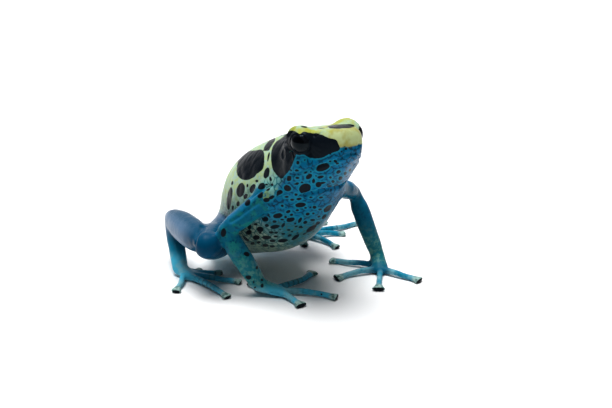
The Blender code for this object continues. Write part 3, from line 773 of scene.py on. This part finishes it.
def depth_inside(places, outline):
    """Distance to the nearest edge of a closed outline, positive where the crossings to one side are odd."""
    nearest = np.full(len(places), np.inf)
    crossings = np.zeros(len(places), int)
    for start, end in zip(outline, np.roll(outline, -1, axis=0)):
        way = end - start
        share = np.clip((places - start) @ way / (way @ way), 0, 1)
        nearest = np.minimum(nearest, ((places - start - share[:, None] * way) ** 2).sum(1))
        spans = (start[1] > places[:, 1]) != (end[1] > places[:, 1])
        if way[1]:
            meet = start[0] + (places[:, 1] - start[1]) * way[0] / way[1]
            crossings += spans & (places[:, 0] < meet)
    return np.where(crossings % 2 == 1, 1, -1) * np.sqrt(nearest)


def spot_depth(points, centre, across, along):
    """Depth inside an ellipse spanned by two vectors from its centre, and none far off its plane."""
    normal = np.cross(across, along)
    normal = normal / np.linalg.norm(normal)
    into_spot = np.linalg.pinv(np.stack([across, along, normal], 1))
    away = (points - centre) @ into_spot.T
    size = min(np.linalg.norm(across), np.linalg.norm(along))
    depth = (1 - np.hypot(away[:, 0], away[:, 1])) * size
    return np.where(np.abs(away[:, 2]) < SPOT_THICKNESS * max(1.0, 2 * size), depth, -1.0)


def facing_camera(points, normals):
    """Cosine between each normal and the way to the camera."""
    way = camera_place - points
    return (normals * way).sum(1) / np.linalg.norm(way, axis=1)


# Limb or trunk: a limb ends at so many of its half girths from its middle line, nearer at the shoulder, and
# the chest round its middle is trunk
LIMB_EDGE = (1.08, 1.5)
SHOULDER_HEIGHT = (13.0, 16.0)
SHOULDER_TRIM = 0.24
CHEST_MIDDLE = np.array([0.0, -8.8, 18.5])
CHEST_EDGE = (7.1, 8.8)
LIMB_POINTS = 16

across_body, along_body, above_floor = skin_points.T
limb_reach = np.full(len(skin_points), np.inf)
hind = np.zeros(len(skin_points))
for lengths, is_hind in ((arm_lengths + finger_lengths, 0.0), (leg_lengths + toe_lengths, 1.0)):
    for sample in np.vstack([curve_through(rows, LIMB_POINTS) for rows in lengths]):
        reach = np.linalg.norm(skin_points - sample[:3], axis=1) / (0.5 * (sample[3] + sample[4]))
        hind = np.where(reach < limb_reach, is_hind, hind)
        limb_reach = np.minimum(limb_reach, reach)
limb = before(limb_reach + SHOULDER_TRIM * past(above_floor, SHOULDER_HEIGHT), LIMB_EDGE)
limb *= past(np.linalg.norm(skin_points - CHEST_MIDDLE, axis=1), CHEST_EDGE)
trunk = 1 - limb

# Blotches: inside their outlines on the side that the camera sees, and mirrored on the other side
LEAST_SEEN = 0.02
seen = facing_camera(skin_points, skin_normals)
mirror_points = skin_points * (-1, 1, 1)
mirror_seen = facing_camera(mirror_points, skin_normals * (-1, 1, 1))
sides = (
    (*project(skin_points), seen),
    (*project(mirror_points), np.where(seen > LEAST_SEEN, -1, mirror_seen)),
)
mark = np.full(len(skin_points), FAR_OUTSIDE)
for outline in BLOTCHES.values():
    smooth_outline = curve_through([*outline, outline[0]], 4 * len(outline))[:-1]
    for pixels, depth, visible in sides:
        inside = depth_inside(pixels, smooth_outline) * depth / FOCAL_PIXELS
        mark = np.maximum(mark, np.where((visible > 0) & (trunk > 0.5), inside, FAR_OUTSIDE))


def spot_on_skin(across, down, half_length, half_width, climb):
    """A spot's centre and half axes on the skin's tangent plane, cast from its pixels, or None on a miss."""
    hit = on_skin((across, down))
    if hit is None:
        return None
    centre, normal = hit
    turn = math.radians(climb)
    lengthways = (math.cos(turn), -math.sin(turn))
    sideways = (math.sin(turn), math.cos(turn))
    axes = []
    for way, half in ((lengthways, half_length), (sideways, half_width)):
        step = sight((across + way[0], down + way[1]))
        reach = ((centre - camera_place) @ normal) / (step @ normal)
        axes.append((camera_place + step * reach - centre) * half)
    return centre, *axes


everywhere = np.full(len(skin_points), True)
for spots, growth, region in (
    (THROAT_SPOTS, 1.0, everywhere),
    (FLANK_SPOTS, FLANK_GROWTH, everywhere),
    (BELLY_SPOTS, BELLY_GROWTH, trunk > 0.5),
    (LIMB_SPOTS, 1.0, everywhere),
    (CROWN_SPOTS_AND_NOSTRIL_SHADE, 1.0, everywhere),
):
    for across, down, half_length, half_width, climb in spots:
        placed = spot_on_skin(across, down, half_length * growth, half_width * growth, climb)
        if placed is None:
            continue
        mark = np.maximum(mark, np.where(region, spot_depth(skin_points, *placed), FAR_OUTSIDE))
        far_side = np.where(region, spot_depth(mirror_points, *placed), FAR_OUTSIDE)
        mark = np.where(seen > LEAST_SEEN, mark, np.maximum(mark, far_side))

# The marks on the back keep to skin that faces up, high on the trunk, where the camera hardly sees it
BACK_FACING = 0.2
BACK_HEIGHT = 12
BACK_SEEN = 0.1
on_back = (skin_normals[:, 2] > BACK_FACING) & (above_floor > BACK_HEIGHT) & (seen < BACK_SEEN)
for x, y, half_length, half_width, degrees in BACK_MARKS:
    turn = math.radians(degrees)
    away = skin_points[:, :2] - (x, y)
    along = (away @ (math.cos(turn), math.sin(turn))) / half_length
    beside = (away @ (-math.sin(turn), math.cos(turn))) / half_width
    inside = (1 - np.hypot(along, beside)) * half_width
    mark = np.maximum(mark, np.where(on_back, inside, FAR_OUTSIDE))

# Height round the body: 0 along the middle of the belly and 1 along the middle of the back. Distances across
# the body count by this share.
ACROSS_SHARE = 0.6
flattened = skin_points * (ACROSS_SHARE, 1, 1)
to_belly = distance_to_line(flattened, np.column_stack([np.zeros(TRUNK_RINGS), trunk_curve[:, 2:4]]))
to_back = distance_to_line(flattened, np.column_stack([np.zeros(TRUNK_RINGS), trunk_curve[:, 0:2]]))
height = to_belly / (to_belly + to_back)

# The yellow of the head ends in a sharp edge, low on the front of the snout and high over the cheek. Behind
# the head the back pales downwards through cream and pale teal to blue, low on the flank. Both are heights
# round the body, given for places along it.
HEAD_EDGE = ((-21.0, 0.50), (-20.2, 0.53), (-19.4, 0.60), (-17.5, 0.62), (-12.5, 0.64))
BODY_EDGE = ((-12.0, 0.55), (-10.4, 0.45), (-9.0, 0.41), (-2.0, 0.40), (5.0, 0.43), (9.0, 0.50), (14.0, 0.58))
YELLOW_HALF_EDGE = 0.012
CROWN_END = (-12.8, -10.6)
SNOUT_END = (-19.6, -17.4)
BAND_FRONT = (-13.6, -12.8)
BAND_OFF_LIMBS = 0.5
PATCH_EDGE = (-0.15, 0.3)
BELLY_TOP = (11.0, 16.0)
BELLY_SIDE = (0.33, 0.5)
REAR_START = (-8.0, -3.0)
# Edges wander with a noise of two sizes, each by its own strength, in millimetres or in height round the body
COARSE_SIZE = 1.6
SMALL_SIZE = 0.7
SMALL_SHARE = 0.6
YELLOW_WANDER = 0.012
CROWN_WANDER = 0.75
SNOUT_WANDER = 0.6
BAND_WANDER = 0.03
PATCH_WANDER = 0.12
BELLY_WANDER = 0.9
REAR_WANDER = 1.8

wander = lattice_noise(skin_points, COARSE_SIZE, 3) + SMALL_SHARE * lattice_noise(skin_points, SMALL_SIZE, 4)
head_edge = np.interp(along_body, *np.array(HEAD_EDGE).T)
body_edge = np.interp(along_body, *np.array(BODY_EDGE).T)
crown_end = before(along_body + CROWN_WANDER * wander, CROWN_END)
yellow = past(height + YELLOW_WANDER * wander, (head_edge - YELLOW_HALF_EDGE, head_edge + YELLOW_HALF_EDGE))
yellow *= crown_end * trunk
snout = before(along_body + SNOUT_WANDER * wander, SNOUT_END)
band = height + BAND_WANDER * wander - body_edge - BAND_OFF_LIMBS * limb - before(along_body, BAND_FRONT)
green = np.zeros(len(skin_points))
for patch in GREEN_PATCHES:
    patch_depth = spot_depth(skin_points, *spot_on_skin(*patch))
    green = np.maximum(green, past(patch_depth + PATCH_WANDER * wander, PATCH_EDGE))
belly = before(above_floor + BELLY_WANDER * wander, BELLY_TOP) * before(height, BELLY_SIDE) * trunk
rear = past(along_body + REAR_WANDER * wander, REAR_START)

# Shades along the limbs, some of them painted light and shade. Edges are places above the floor (top,
# height), along the body (front, rear) or across it, or cosines of the skin's facing. A foot's colour reaches
# higher than a hand's, and the far hand's palm is painted darker, a painted shadow.
HAND_TOP = (0.9, 2.6)
FOOT_RISE = 1.6
LOWER_ARM_TOP = (3.0, 10.0)
LOWER_LEG_TOP = (3.5, 7.0)
LOWER_LEG_OUTSIDE = (9.5, 11.0)
NEAR_SIDE_EDGE = (5.0, 9.5)
OUTER_LEG_FACING = (0.25, 0.95)
OUTER_LEG_HEIGHT = (4.0, 7.5)
OUTER_LEG_FRONT = (0.5, 7.0)
PALM_INSIDE = (12.5, 14.0)
PALM_OUTSIDE = (16.4, 17.6)
PALM_FRONT = (-11.0, -9.5)
PALM_REAR = (-4.0, -2.0)
UPWARD_FACING = (0.1, 0.85)
HIND_PAINTED_SHEEN_CUT = 0.85

hand = limb * before(above_floor - FOOT_RISE * hind, HAND_TOP)
lower_arm = limb * before(above_floor, LOWER_ARM_TOP) * (1 - hind)
lower_leg = limb * hind * before(above_floor, LOWER_LEG_TOP) * past(np.abs(across_body), LOWER_LEG_OUTSIDE)
# Painted light and shade: the near hand is painted lighter, as if lit, and the far arm darker, as if in shade
painted_light_near_side = before(across_body, NEAR_SIDE_EDGE)
# Painted sheen: the outer, upper side of each hind leg is painted pale
painted_leg_sheen = hind * past(skin_normals[:, 0] * np.sign(across_body), OUTER_LEG_FACING)
painted_leg_sheen *= past(above_floor, OUTER_LEG_HEIGHT) * past(along_body, OUTER_LEG_FRONT)
# Painted shadow: the palm of the far hand is painted darker
painted_palm_shade = past(across_body, PALM_INSIDE) * before(across_body, PALM_OUTSIDE)
painted_palm_shade *= past(along_body, PALM_FRONT) * before(along_body, PALM_REAR)
# Painted sheen: arm skin that faces up is painted a paler blue, as if lit from above, and the hind legs take
# little of it
upward = past(skin_normals[:, 2], UPWARD_FACING) * (1 - HIND_PAINTED_SHEEN_CUT * hind)

# Tip of each digit: pale on the disc's upper side, and black on its front rim, less so on the toes
TIP_REACH = 1.7
DISC_EDGE = (-1.9, -0.9)
FINGER_RIM = 0.45
TOE_RIM = 0.28
RIM_SLANT = 0.4
RIM_FOOT = 0.15
disc = np.zeros(len(skin_points))
rims = [(finger, FINGER_RIM) for finger in FINGERS] + [(toe, TOE_RIM) for toe in TOES]
for (root, end, _), rim_width in rims:
    way = np.array(end) - np.array(root)
    way /= np.linalg.norm(way)
    beyond = (skin_points[:, :2] - end) @ way
    near = np.linalg.norm(skin_points[:, :2] - end, axis=1) < TIP_REACH
    tip = beyond + rim_width - RIM_SLANT * (above_floor - RIM_FOOT)
    mark = np.maximum(mark, np.where(near, tip, FAR_OUTSIDE))
    disc = np.maximum(disc, past(beyond, DISC_EDGE) * near)


def store(mesh, regions):
    """Puts each region's values on the mesh's points, under the region's name."""
    for name, values in regions.items():
        attribute = mesh.attributes.new(name, "FLOAT", "POINT")
        attribute.data.foreach_set("value", values.astype(np.float32))


store(remeshed, {"mark": mark, "yellow": yellow, "snout": snout, "band": band, "green": green})
store(remeshed, {"belly": belly, "rear": rear, "limb": limb, "hind": hind, "hand": hand, "disc": disc})
store(remeshed, {"upward": upward, "lower_arm": lower_arm, "lower_leg": lower_leg})
store(remeshed, {"painted_leg_sheen": painted_leg_sheen, "painted_light_near_side": painted_light_near_side, "painted_palm_shade": painted_palm_shade})


# Colours. Frog skin is thin, smooth and moist, deep in colour and with a faint cool sheen. Its colours are
# laid over one another, from the blue of the throat to the black of the marks, by the regions and by
# patterns in the skin.
THROAT_BLUE = (0.000, 0.104, 0.218)
THROAT_PALE = (0.004, 0.165, 0.265)
THROAT_DEEP = (0.000, 0.028, 0.058)
ARM_TEAL = (0.000, 0.080, 0.140)
ARM_GREEN = (0.006, 0.130, 0.125)
ARM_DARK = (0.000, 0.040, 0.075)
# Painted sheen: the paler blue of the arms' upper side
ARM_PAINTED_SHEEN = (0.010, 0.125, 0.245)
# Painted shade: the darker teal of the far arm
FAR_ARM_PAINTED_SHADE = (0.000, 0.060, 0.108)
HIND_BLUE = (0.000, 0.037, 0.084)
# Painted sheen on the outer side of the hind legs
LEG_PAINTED_SHEEN = (0.100, 0.170, 0.270)
LEG_TEAL = (0.004, 0.150, 0.250)
LOWER_TEAL = (0.008, 0.115, 0.140)
LOWER_PALE = (0.060, 0.190, 0.170)
HAND_TEAL = (0.008, 0.185, 0.290)
HAND_PALE = (0.140, 0.360, 0.430)
# Painted light: the lighter teal of the near hand
NEAR_HAND_PAINTED_LIGHT = (0.050, 0.360, 0.520)
# Painted shadow on the far hand's palm
PALM_PAINTED_SHADE = (0.002, 0.085, 0.160)
DISC_PALE = (0.260, 0.400, 0.370)
DISC_FLECK = (0.060, 0.130, 0.120)
BELLY_PALE = (0.215, 0.300, 0.230)
BELLY_BLUE = (0.012, 0.115, 0.160)
BELLY_DARK = (0.030, 0.095, 0.095)
PATCH_GREEN = (0.130, 0.240, 0.120)
PALE_TEAL = (0.130, 0.340, 0.320)
TEAL_NET = (0.010, 0.110, 0.130)
CREAM = (0.320, 0.480, 0.410)
YELLOW_GREEN = (0.370, 0.490, 0.230)
CROWN_PALE = (0.330, 0.470, 0.320)
CROWN_YELLOW = (0.350, 0.380, 0.060)
SNOUT_OLIVE = (0.320, 0.310, 0.085)
SNOUT_PALE = (0.400, 0.470, 0.220)
MARK_BLACK = (0.003, 0.005, 0.008)
SHEEN_TINT = (0.62, 0.84, 1.0)
BUMP_DEPTH = 0.00004
SKIN_ROUGHNESS = 0.28
SKIN_SHINE = 0.09
WET_IOR = 1.34
BUMP_STRENGTH = 0.6
# Patterns: sizes in millimetres, and pairs of values between which the second colour comes in
FINE_SIZE = 0.7
PATCH_SIZE = 3.0
MOTTLE_SIZE = 1.7
FRECKLE_SIZE = 0.55
GRAIN_SIZE = 0.28
RIPPLE_SIZE = 0.6
RIPPLE_SHARE = 0.8
NET_SIZE = 1.05
DOT_SPACING = 1.15
DOT_RADIUS = 0.2
DOT_SHARE = 0.6
PATCHY = (0.42, 0.60)
SPECKLED = (0.45, 0.62)
FRECKLED = (0.52, 0.68)
UNBROKEN = (0.50, 0.66)
NET_LINE = (0.02, 0.17)
HALO = (-0.40, -0.05)
TEAL_BAND = (-0.09, 0.05)
CREAM_BAND = (0.04, 0.24)
GREEN_EDGE = (1.65, 2.15)
BLACK_EDGE = (0.0, 0.09)
# How much the fine noise roughens the band's, the green patches' and the marks' edges
BAND_GRAIN = 0.06
GREEN_GRAIN = 2.0
MARK_GRAIN = 0.14


def stored(tree, name):
    """A region stored on the mesh, as a socket."""
    node = tree.nodes.new("ShaderNodeAttribute")
    node.attribute_name = name
    return node.outputs["Fac"]


def mixed(tree, share, first, second):
    """Mix of two colours, each a colour or a socket, by a share, which is a socket or a region's name."""
    node = tree.nodes.new("ShaderNodeMix")
    node.data_type = "RGBA"
    tree.links.new(stored(tree, share) if isinstance(share, str) else share, node.inputs["Factor"])
    for socket, value in ((node.inputs["A"], first), (node.inputs["B"], second)):
        if isinstance(value, tuple):
            socket.default_value = (*value, 1)
        else:
            tree.links.new(value, socket)
    return node.outputs["Result"]


def layered(tree, colour, *layers):
    """Colour with each layer's colour laid over it in turn, by the layer's share."""
    for share, layer_colour in layers:
        colour = mixed(tree, share, colour, layer_colour)
    return colour


def ramp(tree, value, edge):
    """Value turned into a share: 0 at the edge's first value, 1 at its second, smooth between."""
    node = tree.nodes.new("ShaderNodeMapRange")
    node.interpolation_type = "SMOOTHSTEP"
    node.inputs["From Min"].default_value, node.inputs["From Max"].default_value = edge
    tree.links.new(value, node.inputs["Value"])
    return node.outputs["Result"]


def sum_of(tree, first, second, scale):
    """First + second x scale."""
    node = tree.nodes.new("ShaderNodeMath")
    node.operation = "MULTIPLY_ADD"
    tree.links.new(second, node.inputs[0])
    node.inputs[1].default_value = scale
    tree.links.new(first, node.inputs[2])
    return node.outputs["Value"]


def texture(tree, kind, size, place=None):
    """Texture with features of about the size in millimetres, on Object coordinates or a given place."""
    node = tree.nodes.new(kind)
    node.inputs["Scale"].default_value = 1000 / size
    if place is None:
        place = tree.nodes.new("ShaderNodeTexCoord").outputs["Object"]
    tree.links.new(place, node.inputs["Vector"])
    return node


def noise(tree, size, detail=3.0, roughness=0.55):
    """Smooth noise from 0 to 1, with finer noise added in octaves."""
    node = texture(tree, "ShaderNodeTexNoise", size)
    node.inputs["Detail"].default_value = detail
    node.inputs["Roughness"].default_value = roughness
    return node.outputs["Fac"]


def cells(tree, size, waves=0.7, bend=0.9):
    """Distance to the nearest edge between cells, 0 on the edges, bent by a noise.

    The noise has so many waves in a cell, and moves a place by up to its strength times the size of a cell.
    """
    place = tree.nodes.new("ShaderNodeTexCoord").outputs["Object"]
    wavy = texture(tree, "ShaderNodeTexNoise", size / waves, place)
    shift = tree.nodes.new("ShaderNodeVectorMath")
    shift.operation = "MULTIPLY_ADD"
    tree.links.new(wavy.outputs["Color"], shift.inputs[0])
    shift.inputs[1].default_value = (bend * size * 0.001,) * 3
    tree.links.new(place, shift.inputs[2])
    node = texture(tree, "ShaderNodeTexVoronoi", size, shift.outputs["Vector"])
    node.feature = "DISTANCE_TO_EDGE"
    return node.outputs["Distance"]


def dots(tree, spacing, radius, share, rim=0.06, chance_edge=0.02):
    """1 inside round dots with soft rims and 0 outside: a share of the cells of a jumbled grid has one."""
    node = texture(tree, "ShaderNodeTexVoronoi", spacing)
    chance = tree.nodes.new("ShaderNodeSeparateColor")
    tree.links.new(node.outputs["Color"], chance.inputs["Color"])
    picked = ramp(tree, chance.outputs["Red"], (1 - share, 1 - share + chance_edge))
    inside = ramp(tree, node.outputs["Distance"], ((radius + rim) / spacing, (radius - rim) / spacing))
    both = tree.nodes.new("ShaderNodeMath")
    both.operation = "MULTIPLY"
    tree.links.new(picked, both.inputs[0])
    tree.links.new(inside, both.inputs[1])
    return both.outputs["Value"]


def new_material(name):
    """Material with a Principled shader, and its node tree."""
    material = bpy.data.materials.new(name)
    material.use_nodes = True
    return material, material.node_tree, material.node_tree.nodes["Principled BSDF"]


def wet_finish(shader, roughness, shine):
    """Moist surface: how rough and how strong its shine is, with the index of water and a cool tint."""
    shader.inputs["Roughness"].default_value = roughness
    shader.inputs["IOR"].default_value = WET_IOR
    shader.inputs["Specular IOR Level"].default_value = shine
    shader.inputs["Specular Tint"].default_value = (*SHEEN_TINT, 1)


skin_material, tree, skin_shader = new_material("frog_skin")
fine = noise(tree, FINE_SIZE)
patchy = ramp(tree, noise(tree, PATCH_SIZE), PATCHY)
mottled = ramp(tree, noise(tree, MOTTLE_SIZE), PATCHY)
freckled = ramp(tree, noise(tree, FRECKLE_SIZE), FRECKLED)
speckled = ramp(tree, fine, SPECKLED)
unbroken = ramp(tree, fine, UNBROKEN)
net = ramp(tree, cells(tree, NET_SIZE), NET_LINE)
small_dots = dots(tree, DOT_SPACING, DOT_RADIUS, DOT_SHARE)
halo = ramp(tree, stored(tree, "mark"), HALO)
band_value = sum_of(tree, stored(tree, "band"), fine, BAND_GRAIN)
teal_share = ramp(tree, band_value, TEAL_BAND)
cream_share = ramp(tree, band_value, CREAM_BAND)
green_share = ramp(tree, sum_of(tree, stored(tree, "green"), fine, GREEN_GRAIN), GREEN_EDGE)
black_share = ramp(tree, sum_of(tree, stored(tree, "mark"), fine, MARK_GRAIN), BLACK_EDGE)

throat_net = mixed(tree, net, THROAT_DEEP, THROAT_BLUE)
throat = layered(tree, throat_net, (unbroken, THROAT_BLUE), (halo, THROAT_PALE))
belly_colour = mixed(tree, net, BELLY_DARK, mixed(tree, "rear", BELLY_BLUE, BELLY_PALE))
limb_colour = layered(
    tree,
    # the far arm painted darker, a painted shade
    mixed(tree, "painted_light_near_side", FAR_ARM_PAINTED_SHADE, mixed(tree, mottled, ARM_TEAL, ARM_GREEN)),
    (freckled, ARM_DARK),
    ("hind", HIND_BLUE),
    # painted pale sheen on the legs' outer side
    ("painted_leg_sheen", LEG_PAINTED_SHEEN),
    # painted sheen on the skin that faces up
    ("upward", ARM_PAINTED_SHEEN),
    ("lower_arm", mixed(tree, speckled, LOWER_TEAL, LOWER_PALE)),
    ("lower_leg", LEG_TEAL),
)
hand_colour = layered(
    tree,
    # the near hand painted lighter, a painted light
    mixed(tree, "painted_light_near_side", HAND_TEAL, NEAR_HAND_PAINTED_LIGHT),
    (patchy, HAND_PALE),
    # painted shadow on the far palm
    ("painted_palm_shade", PALM_PAINTED_SHADE),
    ("disc", mixed(tree, speckled, DISC_PALE, DISC_FLECK)),
)
crown = mixed(tree, patchy, CROWN_YELLOW, CROWN_PALE)
crown = mixed(tree, "snout", crown, mixed(tree, patchy, SNOUT_OLIVE, SNOUT_PALE))
skin_colour = layered(
    tree,
    throat,
    ("belly", belly_colour),
    (small_dots, MARK_BLACK),
    ("limb", limb_colour),
    ("hand", hand_colour),
    (green_share, PATCH_GREEN),
    (teal_share, mixed(tree, net, TEAL_NET, PALE_TEAL)),
    (cream_share, mixed(tree, speckled, YELLOW_GREEN, CREAM)),
    ("yellow", crown),
    (black_share, MARK_BLACK),
)
tree.links.new(skin_colour, skin_shader.inputs["Base Color"])
wet_finish(skin_shader, SKIN_ROUGHNESS, SKIN_SHINE)

# Grain: fine cells with soft ripples over them
bump = tree.nodes.new("ShaderNodeBump")
bump.inputs["Strength"].default_value = BUMP_STRENGTH
bump.inputs["Distance"].default_value = BUMP_DEPTH
grain = sum_of(tree, cells(tree, GRAIN_SIZE), noise(tree, RIPPLE_SIZE), RIPPLE_SHARE)
tree.links.new(grain, bump.inputs["Height"])
tree.links.new(bump.outputs["Normal"], skin_shader.inputs["Normal"])
remeshed.materials.clear()
remeshed.materials.append(skin_material)
flesh_nodes = [name for name in frame["nodes"] if not name.startswith("eye_")]
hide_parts(*flesh_nodes)
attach(skin, "root")


# Eyes. Each eyeball is wet and nearly black, with a round pupil that hardly shows in the dark iris. It is a
# ball of its own, a little bulged at the cornea, and the lids of the skin close round it.
PUPIL_EDGE = (0.5, 0.56)
CORNEA_EDGE = (0.3, 0.85)
CORNEA_RISE = 0.05
EYE_ROUGHNESS = 0.14
EYE_SHINE = 0.2
PUPIL_COLOUR = (0.0008, 0.001, 0.0016)
IRIS_COLOUR = (0.003, 0.0036, 0.005)

eye_material, eye_tree, eye_shader = new_material("wet_eye")
iris_share = ramp(eye_tree, stored(eye_tree, "from_pupil"), PUPIL_EDGE)
eye_tree.links.new(mixed(eye_tree, iris_share, PUPIL_COLOUR, IRIS_COLOUR), eye_shader.inputs["Base Color"])
wet_finish(eye_shader, EYE_ROUGHNESS, EYE_SHINE)

for side, sign in (("right", -1), ("left", 1)):
    eye_middle = EYE_CENTRE * (sign, 1, 1)
    eye_points, eye_quads, eye_fans = ball(eye_middle, np.full(3, EYE_RADIUS))
    outward = EYE_OUTWARD * (sign, 1, 1) / np.linalg.norm(EYE_OUTWARD)
    from_pupil = np.arccos(np.clip((eye_points - eye_middle) @ outward / EYE_RADIUS, -1, 1))
    bulge = 1 + CORNEA_RISE / EYE_RADIUS * before(from_pupil, CORNEA_EDGE)
    eye_points = eye_middle + (eye_points - eye_middle) * bulge[:, None]
    eye = make_object(f"wet_eye_{side}", eye_points, eye_quads, eye_fans)
    store(eye.data, {"from_pupil": from_pupil})
    eye.data.materials.append(eye_material)
    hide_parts(f"eye_{side}")
    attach(eye, "root")


# Floor. A plain pale sheet, far larger than the frog, so that no edge of it shows. It carries the shadow,
# and is no part of the frog.
FLOOR_HALF = 900.0
FLOOR_COLOUR = (0.86, 0.86, 0.86, 1)
FLOOR_ROUGHNESS = 0.7
floor_corners = FLOOR_HALF * np.array([(-1, -1, 0), (1, -1, 0), (1, 1, 0), (-1, 1, 0)])
floor = make_object("floor", floor_corners, [(0, 1, 2, 3)])
floor_material, _, floor_shader = new_material("pale_paper")
floor_shader.inputs["Base Color"].default_value = FLOOR_COLOUR
floor_shader.inputs["Roughness"].default_value = FLOOR_ROUGHNESS
floor.data.materials.append(floor_material)


# Light. A pale studio: one broad soft light overhead and a little behind, a white backdrop behind the frog,
# and a dim room on the camera's side, so that black skin stays black and shines only towards the lights.
SKY_LIGHT = 4.6
SKY_SPREAD = math.radians(40)
SKY_FROM = (-0.05, 0.05, 1.0)
BACK_LIGHT = 0.8
BACK_SPREAD = math.radians(70)
BACK_FROM = (0.25, 1.0, 0.85)
BACKDROP_BRIGHT = 0.22
ROOM_DIM = 0.08
# The backdrop's middle lies behind the frog, up a slope, and its edge is a pair of cosines from there
BACKDROP_SLOPE = 0.1
BACKDROP_EDGE = (0.15, 0.75)
ROOM_COLOUR = (0.88, 0.94, 1.0, 1)


def far_light(name, strength, spread, origin):
    """A light as far off as the sun, with parallel rays from one side, spread by an angle."""
    data = bpy.data.lights.new(name, "SUN")
    data.energy = strength
    data.angle = spread
    light = bpy.data.objects.new(name, data)
    light.rotation_mode = "QUATERNION"
    light.rotation_quaternion = Vector(origin).to_track_quat("Z", "Y")
    bpy.context.scene.collection.objects.link(light)


far_light("overhead", SKY_LIGHT, SKY_SPREAD, SKY_FROM)
far_light("behind", BACK_LIGHT, BACK_SPREAD, BACK_FROM)

world = bpy.data.worlds.new("pale_room")
world.use_nodes = True
room = world.node_tree
direction = room.nodes.new("ShaderNodeTexCoord")
towards_back = room.nodes.new("ShaderNodeVectorMath")
towards_back.operation = "DOT_PRODUCT"
away_from_camera = np.array([-camera_back[0], -camera_back[1], BACKDROP_SLOPE])
towards_back.inputs[1].default_value = away_from_camera / np.linalg.norm(away_from_camera)
room.links.new(direction.outputs["Generated"], towards_back.inputs[0])
brightness = room.nodes.new("ShaderNodeMapRange")
brightness.inputs["From Min"].default_value, brightness.inputs["From Max"].default_value = BACKDROP_EDGE
brightness.inputs["To Min"].default_value = ROOM_DIM
brightness.inputs["To Max"].default_value = BACKDROP_BRIGHT
room.links.new(towards_back.outputs["Value"], brightness.inputs["Value"])
room.links.new(brightness.outputs["Result"], room.nodes["Background"].inputs["Strength"])
room.nodes["Background"].inputs["Color"].default_value = ROOM_COLOUR
bpy.context.scene.world = world

bpy.context.scene.view_settings.view_transform = "Standard"
